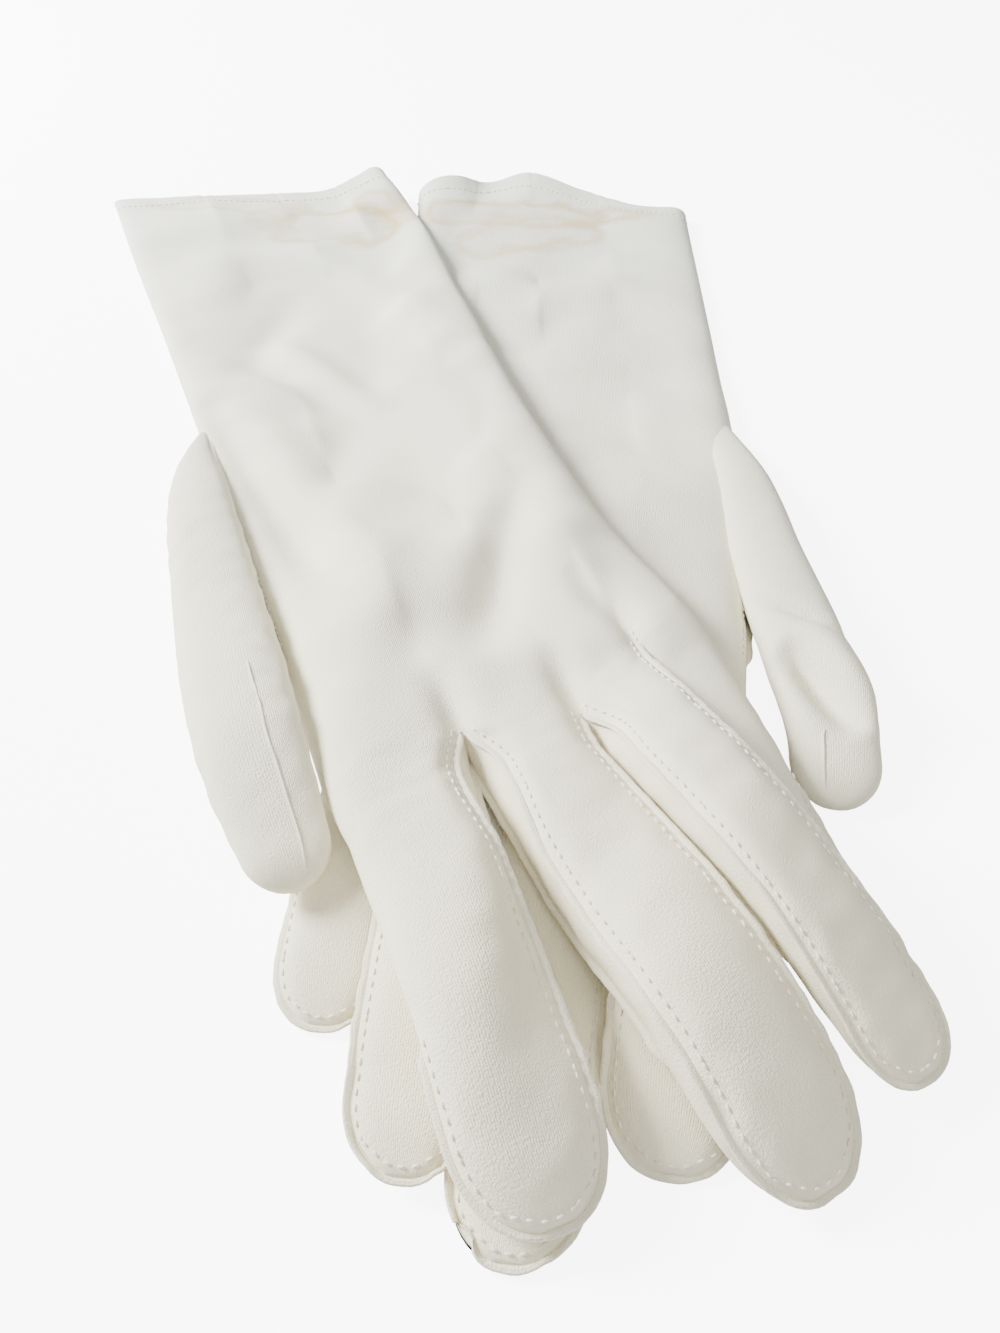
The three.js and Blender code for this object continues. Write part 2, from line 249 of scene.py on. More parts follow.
RIGHT_GLOVE = GloveLay(
    name="right",
    thumb_side=1,
    cuff=(14.0, 333.0),
    turn=-2.6,
    thumb_edge=Curve(((-12, 46), (104, 46.4), (150, 46.2), (177, 43.7), (201, 41), (218, 38.8), (234, 38))),
    little_edge=Curve(((-12, -42), (60, -36), (150, -27.5), (200, -30), (234, -35))),
    hem=Curve(((-44, -6), (-30, -7), (-9, -11), (10, -6), (30, 3), (47, 7))),
    hem_rise=Curve(((-44, 2), (-28, 5), (-18, 2), (-6, 5), (14, 1.5), (34, 0.5), (47, 2))),
    crotches=((226.0, 15.0), (229.0, -3.5), (216.0, -19.0)),
    edge_ends=(230.0, 210.0),
    fingers={
        "index": FingerLay((292.5, 19.9), Curve(((0, 11), (0.4, 9.2), (0.8, 8.8), (1, 8.6))),
                           Curve(((0, 6.5), (0.3, 7), (0.75, 6.5), (1, 2.6)))),
        "middle": FingerLay((303.2, 0.6), Curve(((0, 9), (0.4, 8.6), (0.8, 8.4), (1, 8.2))),
                            Curve(((0, 6.5), (0.3, 6), (0.6, 3.6), (0.8, 4.2), (1, 2.6)))),
        "ring": FingerLay((295.0, -12.6), Curve(((0, 7.6), (0.4, 8.2), (0.8, 8), (1, 7.8))),
                          Curve(((0, 6.5), (0.3, 6.4), (0.75, 5.6), (1, 2.6))),
                          lift=Curve(((0, 0), (0.4, 0.4), (0.7, 2.0), (1, 2.0)))),
        "little": FingerLay((275.8, -25.9), Curve(((0, 7.4), (0.4, 7.8), (0.8, 7.4), (1, 7.2))),
                            Curve(((0, 6), (0.3, 6.6), (0.75, 6), (1, 2.6)))),
    },
    thumb=ThumbLay(
        line=((126, 42.0), (140, 43.4), (152, 45.0), (180, 46.8), (206, 50.0), (224, 51.6), (236.5, 50.2)),
        half=Curve(((0, 2.5), (0.2, 5.5), (0.45, 7.2), (0.8, 7.8), (1, 7.2))),
        height=Curve(((0, 3), (0.25, 8), (0.5, 9.5), (0.8, 9), (1, 4))),
        rise=Curve(((0, 0.2), (1, 0.2))),
    ),
    thickness=Curve(((-12, 3.4), (40, 3.4), (120, 4.4), (180, 6.0), (234, 6.6))),
    folds=(
        Fold((208, 45.5), (223, 55), -5.0, 3.2),
        Fold((203, 50), (222, 59), 1.8, 4.4),
        Fold((194, 41), (203, 56), -1.7, 1.5),
        Fold((50, 20), (130, 5), 0.7, 7.0),
        Fold((20, 0), (70, -12), 0.6, 8.0),
        Fold((90, 30), (150, 35), -0.6, 6.0),
    ),
    gusset=(184.0, 43.6, 0.6),
    slack=0.014,
    thumb_seam=0.84,
)


class HeightField:
    """Height of what lies under a glove, over the table, in millimetres."""

    CELL = 2.0

    def __init__(self, low: Sequence[float], high: Sequence[float]) -> None:
        """Starts as a bare table over the given area."""
        self.low = np.array(low, float)
        shape = np.ceil((np.array(high, float) - self.low) / self.CELL).astype(int) + 1
        self.z = np.zeros(shape)

    def add(self, points: np.ndarray) -> None:
        """Raises the field to the points that lie on it."""
        cells = np.rint((points[:, :2] - self.low) / self.CELL).astype(int)
        inside = np.all((cells >= 0) & (cells < self.z.shape), axis=1)
        np.maximum.at(self.z, (cells[inside, 0], cells[inside, 1]), points[inside, 2])

    def drape(self, slope: float, passes: int = 40, blur: int = 5) -> None:
        """Stretches a cloth over the field, falling away at the given slope, and softens it."""
        for _ in range(passes):
            padded = np.pad(self.z, 1, mode="edge")
            rows, columns = self.z.shape
            for i, j in ((0, 1), (2, 1), (1, 0), (1, 2), (0, 0), (0, 2), (2, 0), (2, 2)):
                far = math.hypot(i - 1, j - 1) * self.CELL * slope
                self.z = np.maximum(self.z, padded[i:i + rows, j:j + columns] - far)
        for _ in range(blur):
            padded = np.pad(self.z, 1, mode="edge")
            self.z = (padded[:-2, 1:-1] + padded[2:, 1:-1] + padded[1:-1, :-2] + padded[1:-1, 2:]
                      + 2 * padded[1:-1, 1:-1]) / 6

    def at(self, x: np.ndarray, y: np.ndarray) -> np.ndarray:
        """Height under each point, evened between the cells."""
        place = (np.stack([x, y], -1) - self.low) / self.CELL
        place = np.clip(place, 0, np.array(self.z.shape) - 1.001)
        cell = place.astype(int)
        k = place - cell
        i, j = cell[..., 0], cell[..., 1]
        a = self.z[i, j] * (1 - k[..., 0]) + self.z[i + 1, j] * k[..., 0]
        b = self.z[i, j + 1] * (1 - k[..., 0]) + self.z[i + 1, j + 1] * k[..., 0]
        return a * (1 - k[..., 1]) + b * k[..., 1]


@dataclass
class Sewn:
    """One sewn cloth shape: points, faces, the panel of each face, and flat coordinates."""

    points: list[np.ndarray] = field(default_factory=list)
    faces: list[tuple[int, ...]] = field(default_factory=list)
    panels: list[str] = field(default_factory=list)
    flats: list[tuple[tuple[float, float], ...]] = field(default_factory=list)
    seams: dict[str, list[int]] = field(default_factory=dict)
    upper: np.ndarray | None = None
    under: np.ndarray | None = None
    count: int = 0

    def add(self, rows: np.ndarray) -> np.ndarray:
        """Adds points and returns their numbers, in the same arrangement."""
        flat = rows.reshape(-1, 3)
        self.points.append(flat)
        numbers = np.arange(self.count, self.count + len(flat)).reshape(rows.shape[:-1])
        self.count += len(flat)
        return numbers

    def weave(self, numbers: np.ndarray, flat: np.ndarray, panel: str, flip: bool) -> None:
        """Fills a grid of points with faces.

        Args:
            numbers: Point numbers, rows along the glove and columns across it.
            flat: Flat coordinates of the same grid, across and along.
            panel: Name of the cloth panel the faces belong to.
            flip: Whether the faces look the other way.
        """
        rows, columns = numbers.shape
        for i in range(rows - 1):
            for j in range(columns - 1):
                cells = [(i, j), (i, j + 1), (i + 1, j + 1), (i + 1, j)]
                cells = cells[::-1] if flip else cells
                kept: list[tuple[int, int]] = []
                for cell in cells:
                    if all(numbers[cell] != numbers[other] for other in kept):
                        kept.append(cell)
                if len(kept) > 2:
                    self.faces.append(tuple(int(numbers[c]) for c in kept))
                    self.flats.append(tuple((float(flat[c][0]), float(flat[c][1])) for c in kept))
                    self.panels.append(panel)

    def all_points(self) -> np.ndarray:
        """Every point, in millimetres in the row frame."""
        return np.concatenate(self.points)


class GloveForm:
    """Shapes one glove as it lies, from its lay and what is under it."""

    TABLE_GAP = 0.4
    STITCH_DIP = 0.45
    HAND_LENGTH = 245.0
    HEM_START = -10.0
    # How far in from the side the cloth turns over, and the thickness of the side itself.
    SIDE_TURN = 7.0
    SIDE_RIM = 1.9
    # The dips between the knuckles: their width, how far they run up the hand, and their share of its height.
    VALLEY_WIDTH = 2.6
    VALLEY_LENGTH = 22.0
    VALLEY_DEPTH = 0.34
    # How far the ripple of the hem carries up the sleeve, and how much of it reaches the palm.
    HEM_FADE = 9.0
    HEM_UNDER = 0.25
    # Where the flat pieces lie on the cloth: how far apart the fingers are, and how far over the palm is.
    FLAT_STEP = 90.0
    FLAT_PALM = 200.0
    # How much narrower the palm of a finger is than its back.
    PALM_TUCK = 0.1

    def __init__(self, lay: GloveLay, under: HeightField) -> None:
        """Keeps the lay and the field under the glove."""
        self.lay = lay
        self.under = under
        self.sewn = Sewn()
        self.columns = self._hand_columns()

    def _hand_columns(self) -> np.ndarray:
        """Share across the hand of each column, from the thumb edge to the little edge."""
        thumb = float(self.lay.thumb_edge.at(240))
        little = float(self.lay.little_edge.at(240))
        bounds = [thumb, *(t for _, t in self.lay.crotches), little]
        columns = [0.0]
        for a, b in zip(bounds[:-1], bounds[1:]):
            middle, half = (a + b) / 2, (a - b) / 2
            places = middle - half * FINGER_COLUMNS[1:]
            columns += list((thumb - places) / (thumb - little))
        return np.array(columns)

    def _place(self, s: np.ndarray, t: np.ndarray, z: np.ndarray) -> np.ndarray:
        """Row-frame points of places on the glove.

        Args:
            s: Places along the glove.
            t: Places across it.
            z: Heights over what is under the glove.

        Returns:
            The points, in millimetres.
        """
        x, y = self.lay.on_table(s, t)
        return np.stack([x, y, z + self.under.at(x, y)], -1)

    def _knuckle_line(self) -> np.ndarray:
        """Where each column of the hand ends: at the crotches, and evenly between them."""
        bounds = SPAN * np.arange(len(FINGERS) + 1)
        ends = [self.lay.edge_ends[0], *(s for s, _ in self.lay.crotches), self.lay.edge_ends[1]]
        return np.interp(np.arange(bounds[-1] + 1), bounds, ends)

    def build(self) -> Sewn:
        """Makes the hand, the fingers and the thumb."""
        self._hand()
        for number, name in enumerate(FINGERS):
            self._finger(number, name)
        self._thumb()
        self._gusset()
        return self.sewn

    def _hand(self) -> None:
        """The back and palm of the hand and the sleeve, as one flattened tube."""
        lay = self.lay
        ends = self._knuckle_line()
        share = np.linspace(0, 1, HAND_ROWS + 1)[:, None]
        nominal = share * self.HAND_LENGTH + self.HEM_START * (1 - share)
        thumb, little = lay.thumb_edge.at(nominal), lay.little_edge.at(nominal)
        t = thumb - self.columns[None, :] * (thumb - little)
        hem = lay.hem.at(t)
        s = hem + (ends[None, :] - hem) * share
        thumb, little = lay.thumb_edge.at(s), lay.little_edge.at(s)
        t = thumb - self.columns[None, :] * (thumb - little)
        full = lay.thickness.at(s)
        inset = np.minimum(thumb - t, t - little)
        crown = np.sqrt(1 - (1 - np.clip(inset / self.SIDE_TURN, 0, 1)) ** 2)
        rim = self.SIDE_RIM
        near_end = smooth_step((s - ends[None, :] + self.VALLEY_LENGTH) / self.VALLEY_LENGTH)
        valleys = np.zeros_like(s)
        for _, crotch in lay.crotches:
            valleys = np.maximum(valleys, np.exp(-(((t - crotch) / self.VALLEY_WIDTH) ** 2)))
        top = rim / 2 + (full - rim / 2) * crown
        top = top * (1 - self.VALLEY_DEPTH * valleys * near_end**2)
        bottom = rim / 2 * (1 - crown) * np.ones_like(s)
        rise = lay.hem_rise.at(t) * np.exp(-((s - hem) / self.HEM_FADE)) * crown
        top = top + rise
        bottom = bottom + np.clip(rise * self.HEM_UNDER, 0, None)
        gap = self.TABLE_GAP
        upper = self._place(s, t, top + gap)
        lower = self._place(s, t, bottom + gap)
        edge = (upper[:, [0, -1]] + lower[:, [0, -1]]) / 2
        upper[:, [0, -1]] = edge
        self.top = self.sewn.add(upper)
        inner = self.sewn.add(lower[:, 1:-1])
        self.bottom = np.concatenate([self.top[:, :1], inner, self.top[:, -1:]], axis=1)
        self.sewn.upper, self.sewn.under = self.top, inner
        flat = np.stack([t, s], -1)
        turned = np.stack([self.FLAT_PALM - t, s], -1)
        self.sewn.weave(self.top, flat, "hand", lay.thumb_side < 0)
        self.sewn.weave(self.bottom, turned, "hand", lay.thumb_side > 0)
        beside = np.flatnonzero((s[:, 0] > lay.thumb_hole[0]) & (s[:, 0] < lay.thumb_hole[1]))
        self.sewn.seams["thumb_hole"] = list(self.top[beside, 0])
        self.sewn.seams["thumb_hole_stitch"] = list(self.top[beside, 1])
        self.sewn.seams["hem_line"] = list(self.top[2])
        self.crotch_lines = [self._crotch_line(i, upper, lower) for i in range(len(lay.crotches))]
        self.ends = (s[-1], t[-1], (top + gap)[-1], (bottom + gap)[-1])

    def _crotch_line(self, i: int, upper: np.ndarray, lower: np.ndarray) -> np.ndarray:
        """The short seam down the crotch between two fingers, from the back to the palm.

        Args:
            i: Number of the crotch, from the thumb side.
            upper: Points of the back of the hand.
            lower: Points of its palm.

        Returns:
            The point numbers of the seam.
        """
        column = SPAN * (i + 1)
        a, b = upper[-1, column], lower[-1, column]
        shares = np.linspace(0, 1, WALL_CELLS + 1)[1:-1, None] ** 1.7
        back = self.lay.on_table(np.array(0.0), np.array(0.0))
        ahead = self.lay.on_table(np.array(1.0), np.array(0.0))
        along = np.array([float(ahead[0] - back[0]), float(ahead[1] - back[1]), 0.0])
        inner = self.sewn.add(a + (b - a) * shares + along * 0.6)
        return np.array([self.top[-1, column], *inner, self.bottom[-1, column]])

    @staticmethod
    def _arch(along: np.ndarray) -> np.ndarray:
        """How far the back seam draws in from the finger's side, in millimetres, to show the side strip."""
        return Curve(((0, 0), (3, 2.4), (7, 4.2), (11, 4.2), (19, 2.8), (32, 2.1), (80, 1.4))).at(along)

    @staticmethod
    def _finger_line(base: np.ndarray, tip: np.ndarray, k: np.ndarray) -> tuple[np.ndarray, np.ndarray]:
        """The middle line of a finger, which leaves the hand straight ahead and turns to its tip.

        Args:
            base: Where it leaves the hand, on the glove's own axes.
            tip: Where it ends.
            k: Share of the way along, one row each.

        Returns:
            The points of the line, and the direction across the finger at each.
        """
        length = float(np.hypot(*(tip - base)))
        ahead = base + np.array([1.0, 0.0]) * length / 3
        behind = tip - (tip - base) / length * length / 3
        middle = (1 - k) ** 3 * base + 3 * (1 - k) ** 2 * k * ahead + 3 * (1 - k) * k**2 * behind + k**3 * tip
        heading = np.gradient(middle, axis=0)
        heading /= np.hypot(*heading.T)[:, None]
        return middle, np.stack([-heading[:, 1], heading[:, 0]], -1)

    def _finger(self, number: int, name: str) -> None:
        """One finger: its back and palm, and the fourchette on each side that has one.

        Args:
            number: Number of the finger, from the thumb side.
            name: Its name.
        """
        lay, finger = self.lay, self.lay.fingers[name]
        first = SPAN * number
        s0, t0, top0, bottom0 = (values[first:first + SPAN + 1] for values in self.ends)
        base = np.array([s0.mean(), t0.mean()])
        tip = np.array(finger.tip)
        length = float(np.hypot(*(tip - base)))
        even = np.linspace(0, 1, FINGER_ROWS + 1)
        u = 0.5 * even + 0.25 * (1 - np.cos(math.pi * even))
        u[-1] = 0.999
        k = u[:, None]
        middle, side = self._finger_line(base, tip, k)
        radius = float(finger.half.at(1)) * finger.point
        into = np.clip((u * length - (length - radius)) / radius, 0, 1)
        half = finger.half.at(u) * (1 - into**2.05) ** 0.5
        v = -FINGER_COLUMNS
        arch = self._arch(u * length) * (1 - into**2)
        pull = np.where(v[None, :] > 0, finger.open_sides[0], finger.open_sides[1]) * arch[:, None]
        narrow = half[:, None] - pull * (np.abs(v[None, :]) > 0.5)
        slant = (s0 - s0.mean())[None, :] * (1 - smooth_step(k / 0.32))
        tucked = smooth_step(k / 0.25) * (1 - smooth_step((k - 0.62) / 0.2))
        palm = half[:, None] * (1 - self.PALM_TUCK * tucked)
        s = middle[:, :1] + v[None, :] * palm * side[:, :1] + slant
        t = middle[:, 1:] + v[None, :] * palm * side[:, 1:]
        s_top = middle[:, :1] + v[None, :] * narrow * side[:, :1] + slant
        t_top = middle[:, 1:] + v[None, :] * narrow * side[:, 1:]
        height = finger.height.at(u)[:, None] * (1 - 0.55 * into[:, None] ** 3)
        walls = [number > 0, number < len(FINGERS) - 1]
        taper = (1 - 0.93 * smooth_step((u - 0.74) / 0.24))[:, None]
        wall = finger.wall * height * taper
        left = wall if walls[0] else np.zeros_like(wall)
        right = wall if walls[1] else np.zeros_like(wall)
        across = np.where(v[None, :] > 0, left, right)
        level = 0.44 * height
        crown = (1 - np.abs(v[None, :]) ** 2.6) ** 0.5
        top = level + across / 2 + (height - level - across / 2) * crown
        stitched = np.isclose(np.abs(v), FINGER_COLUMNS[-2])
        top -= np.where(stitched, self.STITCH_DIP, 0.0)[None, :] * smooth_step(k / 0.1)
        bottom = np.maximum(level - across / 2, 0.0) * (1 - crown)
        blend = smooth_step(k / 0.2)
        top = top0[None, :] * (1 - blend) + (top + self.TABLE_GAP) * blend
        bottom = bottom0[None, :] * (1 - blend) + (bottom + self.TABLE_GAP) * blend
        lift = finger.lift.at(u)[:, None]
        upper, lower = self._place(s_top, t_top, top + lift), self._place(s, t, bottom + lift)
        lower[-1] = upper[-1] = (upper[-1] + lower[-1]) / 2
        self._sew_finger(number, name, upper, lower, walls, u * length)

    def _sew_finger(self, number: int, name: str, upper: np.ndarray, lower: np.ndarray,
                    walls: list[bool], along: np.ndarray) -> None:
        """Joins one finger's points to the hand and weaves its panels.

        Args:
            number: Number of the finger, from the thumb side.
            name: Its name.
            upper: Points of its back, rows along it.
            lower: Points of its palm.
            walls: Whether it has a fourchette on the thumb side and on the little side.
            along: How far each row is from the hand, in millimetres.
        """
        sewn, flip = self.sewn, self.lay.thumb_side < 0
        first = SPAN * number
        rows, columns = upper.shape[:2]
        top = np.zeros((rows, columns), int)
        bottom = np.zeros((rows, columns), int)
        top[0] = self.top[-1, first:first + SPAN + 1]
        bottom[0] = self.bottom[-1, first:first + SPAN + 1]
        for end, present in ((0, walls[0]), (-1, walls[1])):
            if not present:
                upper[1:, end] = (upper[1:, end] + lower[1:, end]) / 2
        top[1:] = sewn.add(upper[1:])
        bottom[1:-1] = sewn.add(lower[1:-1])
        bottom[-1] = top[-1]
        for end, present in ((0, walls[0]), (-1, walls[1])):
            if not present:
                bottom[:, end] = top[:, end]
        width = float(self.lay.fingers[name].half.at(0.4))
        over = np.broadcast_to(-FINGER_COLUMNS * width, (rows, columns))
        far = np.broadcast_to(along[:, None], (rows, columns)) + self.HAND_LENGTH + self.FLAT_STEP * number
        sewn.weave(top, np.stack([over, far], -1), f"{name}_trank", flip)
        sewn.weave(bottom, np.stack([self.FLAT_PALM - over, far], -1), f"{name}_trank", not flip)
        sewn.seams[f"{name}_tip"] = list(top[-1])
        turn = rows - 3
        cap = [top[turn, 2], *top[turn + 1, 3:-3], top[turn, -3]]
        start = 0 if walls[0] else int(rows * OUTER_STITCH_START["index"])
        stop = 0 if walls[1] else int(rows * OUTER_STITCH_START["little"])
        sewn.seams[f"{name}_stitch"] = [*top[start:turn, 1], *cap, *top[stop:turn, -2][::-1]]
        for end, side, present in ((0, "thumb_side", walls[0]), (-1, "little_side", walls[1])):
            sewn.seams[f"{name}_{side}_back"] = list(top[:, end])
            if present:
                crotch = self.crotch_lines[number - 1 if end == 0 else number]
                grid = self._wall(upper[:, end], lower[:, end], top[:, end], bottom[:, end], crotch, end)
                deep = np.broadcast_to(np.linspace(0, 7, grid.shape[1]), grid.shape)
                flat = np.stack([deep + 20 * number + 400, np.broadcast_to(along[:, None], grid.shape)], -1)
                panel = f"{name}_fourchette_{side}"
                sewn.weave(grid, flat, panel, flip if end == -1 else not flip)
                sewn.seams[f"{name}_{side}_palm"] = list(bottom[:, end])

    def _wall(self, upper: np.ndarray, lower: np.ndarray, top: np.ndarray, bottom: np.ndarray,
              crotch: np.ndarray, end: int) -> np.ndarray:
        """Point numbers of a fourchette, from the back seam to the palm seam.

        Args:
            upper: Points of the back seam.
            lower: Points of the palm seam.
            top: Numbers of the back seam's points.
            bottom: Numbers of the palm seam's points.
            crotch: Numbers of the crotch seam's points.
            end: 0 for the side toward the thumb, -1 for the other.
        """
        shares = np.linspace(0, 1, WALL_CELLS + 1)[1:-1]
        tall = np.linalg.norm(upper - lower, axis=1)
        out = np.gradient((upper + lower) / 2, axis=0)
        out /= np.maximum(np.linalg.norm(out, axis=1), 1e-9)[:, None]
        sideways = np.stack([-out[:, 1], out[:, 0], np.zeros(len(out))], -1)
        sign = (1 if end == 0 else -1) * self.lay.thumb_side
        rows = []
        for share in shares:
            bulge = 0.13 * tall * math.sin(math.pi * share) * sign
            rows.append(upper + (lower - upper) * share + sideways * bulge[:, None])
        inner = self.sewn.add(np.stack(rows, 1)[1:-1])
        middle = np.concatenate([crotch[None, 1:-1], inner, np.repeat(top[-1:, None], len(shares), 1)])
        return np.concatenate([top[:, None], middle, bottom[:, None]], axis=1)

    def _gusset(self) -> None:
        """The small diamond between the root of the thumb and the edge of the hand."""
        s0, t0, low = self.lay.gusset
        along, across = np.meshgrid(np.linspace(-1, 1, 11), np.linspace(-1, 1, 7), indexing="ij")
        half = 0.5 + 2.8 * (1 - np.abs(along)) ** 0.8
        s, t = s0 + along * 10.5, t0 + across * half
        inward = np.clip((t0 + 0.8 - t) / 4.6, 0, 1)
        z = low + 4.6 * np.sqrt(1 - inward**2) + 0.5 * (1 - across**2) * (1 - along**2)
        x, y = self.lay.on_table(s, t)
        numbers = self.sewn.add(np.stack([x, y, z], -1))
        flat = np.stack([t + 500, s], -1)
        self.sewn.weave(numbers, flat, "thumb_gusset", self.lay.thumb_side > 0)

    def _thumb_end(self, middle: np.ndarray, heading: np.ndarray, z: float) -> list[float]:
        """The point that closes the thumb's tip, half a millimetre past its last ring."""
        x, y = self.lay.on_table(*(middle + heading * 0.5))
        return [float(x), float(y), z]

    def _thumb(self) -> None:
        """The thumb, a round tube whose root lies under the edge of the hand."""
        lay, thumb = self.lay, self.lay.thumb
        knots = np.array(thumb.line, float)
        far = np.concatenate([[0], np.cumsum(np.hypot(*np.diff(knots, axis=0).T))])
        u = np.linspace(0, 1, THUMB_ROWS + 1)
        u = 1 - (1 - u) ** 1.2
        u[-1] = 0.996
        line_s = Curve(tuple(zip(far / far[-1], knots[:, 0]))).at(u)
        line_t = Curve(tuple(zip(far / far[-1], knots[:, 1]))).at(u)
        middle = np.stack([line_s, line_t], -1)
        heading = np.gradient(middle, axis=0)
        heading /= np.hypot(*heading.T)[:, None]
        side = np.stack([-heading[:, 1], heading[:, 0]], -1)
        radius = float(thumb.half.at(1)) * 1.1
        into = np.clip((u * far[-1] - (far[-1] - radius)) / radius, 0, 1)
        half = thumb.half.at(u) * (1 - into**2.2) ** 0.47
        height = thumb.height.at(u) * (1 - 0.5 * into**3)
        angle = np.linspace(0, 2 * math.pi, THUMB_RING, endpoint=False)
        across = np.sign(np.cos(angle)) * np.abs(np.cos(angle)) ** 0.85
        upright = 0.46 + 0.5 * np.sign(np.sin(angle)) * np.abs(np.sin(angle)) ** 0.8
        s = middle[:, :1] + across[None, :] * half[:, None] * side[:, :1]
        t = middle[:, 1:] + across[None, :] * half[:, None] * side[:, 1:]
        z = thumb.rise.at(u)[:, None] + upright[None, :] * height[:, None] + self.TABLE_GAP
        x, y = lay.on_table(s, t)
        ring = self.sewn.add(np.stack([x, y, z], -1))
        ring = np.concatenate([ring, ring[:, :1]], axis=1)
        close = np.array([[self._thumb_end(middle[-1], heading[-1], z[-1].mean())]])
        ring = np.concatenate([ring, np.repeat(self.sewn.add(close), THUMB_RING + 1, axis=1)])
        u = np.append(u, 1.0)
        about = np.broadcast_to(np.linspace(0, 48, THUMB_RING + 1), ring.shape) + 300
        flat = np.stack([about, np.broadcast_to((u * far[-1])[:, None], ring.shape)], -1)
        # Round the ring from the outer side: the top seam, a little past the crown, and the seam below.
        seam = THUMB_RING * 7 // 24
        under = THUMB_RING * 17 // 24
        flip = lay.thumb_side < 0
        self.sewn.weave(ring[:, seam:under + 1], flat[:, seam:under + 1], "thumb_inner", flip)
        self.sewn.weave(ring[:, under:], flat[:, under:], "thumb_outer", flip)
        self.sewn.weave(ring[:, :seam + 1], flat[:, :seam + 1], "thumb_outer", flip)
        self.sewn.seams["thumb_top"] = list(ring[:-1, seam])


def swung_fingers(sewn: Sewn, joints: Sequence[dict]) -> list[np.ndarray]:
    """Where the fingers that spread on the table reach in their swing.

    Args:
        sewn: The glove whose fingers spread.
        joints: The joints of the pair.

    Returns:
        The points of each finger part-way and at the end of its swing, in millimetres.
    """
    points, reached = sewn.all_points(), []
    for joint in joints:
        if abs(joint["axis"][2]) < 0.5 or joint["type"] != "hinge":
            continue
        finger = joint["child"].split("_")[1]
        own = (face for face, panel in zip(sewn.faces, sewn.panels) if panel.startswith(finger))
        numbers = sorted({number for face in own for number in face})
        pivot = np.array(joint["pos_m"]) / MM
        for share in (0.5, 1.0):
            angle = math.radians(joint["range_deg"][1]) * share * joint["axis"][2]
            x, y = (points[numbers] - pivot)[:, :2].T
            turned = points[numbers].copy()
            turned[:, 0] = pivot[0] + x * math.cos(angle) - y * math.sin(angle)
            turned[:, 1] = pivot[1] + x * math.sin(angle) + y * math.cos(angle)
            reached.append(turned)
    return reached


def form_gloves(joints: Sequence[dict]) -> dict[str, Sewn]:
    """Shapes the right glove on the table, then the left glove over it and clear of its swinging fingers."""
    right = GloveForm(RIGHT_GLOVE, HeightField(*FIELD)).build()
    under = HeightField(*FIELD)
    for points in (right.all_points(), *swung_fingers(right, joints)):
        under.add(points + [0, 0, LAYER_GAP])
    under.drape(DRAPE_SLOPE)
    left = GloveForm(LEFT_GLOVE, under).build()
    return {"right": right, "left": left}


class Local:
    """Turns row-frame points back into places on a glove's own axes."""

    def __init__(self, lay: GloveLay) -> None:
        """Keeps the lay's axes."""
        self.origin = np.array([float(v) for v in lay.on_table(np.array(0.0), np.array(0.0))])
        along = np.array([float(v) for v in lay.on_table(np.array(1.0), np.array(0.0))])
        across = np.array([float(v) for v in lay.on_table(np.array(0.0), np.array(1.0))])
        self.along, self.across = along - self.origin, across - self.origin

    def place(self, points: np.ndarray) -> tuple[np.ndarray, np.ndarray]:
        """Places along and across the glove of points in the row frame, in millimetres."""
        offset = points[:, :2] - self.origin
        return offset @ self.along, offset @ self.across


class ClothRelaxer:
    """Lets slack cloth buckle a little between the parts that hold it, with Blender's cloth simulation."""

    FRAMES = 12
    MOST_MOVE = 2.6
    LOWEST = 0.3
    STIFFNESS = {"tension": 18.0, "compression": 18.0, "shear": 6.0, "bending": 0.35}
    DAMPING = {"tension": 12.0, "compression": 12.0}

    def __init__(self, slack: float) -> None:
        """Keeps how much longer the cloth is than the shape it lies in, as a share."""
        self.slack = slack

    def relax(self, obj: bpy.types.Object, hold: np.ndarray) -> np.ndarray:
        """Runs the simulation.

        Args:
            obj: The coarse cloth, in metres.
            hold: How firmly each point keeps its place, from 0 to 1.

        Returns:
            Where the points come to rest, in metres, none of them far from where it began.
        """
        group = obj.vertex_groups.new(name="hold")
        for weight in np.unique(hold):
            group.add(np.flatnonzero(hold == weight).tolist(), float(weight), "REPLACE")
        cloth = obj.modifiers.new("cloth", "CLOTH")
        settings = cloth.settings
        settings.quality = 6
        settings.mass = 0.05
        for name, value in self.STIFFNESS.items():
            setattr(settings, f"{name}_stiffness", value)
        for name, value in self.DAMPING.items():
            setattr(settings, f"{name}_damping", value)
        settings.air_damping = 2.0
        settings.vertex_group_mass = group.name
        settings.pin_stiffness = 0.7
        settings.shrink_min = -self.slack
        settings.effector_weights.gravity = 0.0
        cloth.collision_settings.use_collision = False
        cloth.point_cache.frame_start = 1
        cloth.point_cache.frame_end = self.FRAMES
        scene = bpy.context.scene
        for frame in range(1, self.FRAMES + 1):
            scene.frame_set(frame)
        graph = bpy.context.evaluated_depsgraph_get()
        rest = np.zeros(len(obj.data.vertices) * 3)
        obj.evaluated_get(graph).data.vertices.foreach_get("co", rest)
        start = np.zeros_like(rest)
        obj.data.vertices.foreach_get("co", start)
        scene.frame_set(1)
        obj.modifiers.remove(cloth)
        move = (rest - start).reshape(-1, 3)
        far = np.linalg.norm(move, axis=1)[:, None]
        most = self.MOST_MOVE * MM
        LOG.info("%s relaxed by up to %.2f mm, %.2f mm on average", obj.name, far.max() / MM, far.mean() / MM)
        settled = start.reshape(-1, 3) + move * np.minimum(1.0, most / np.maximum(far, 1e-9))
        settled[:, 2] = np.maximum(settled[:, 2], self.LOWEST * MM)
        return settled


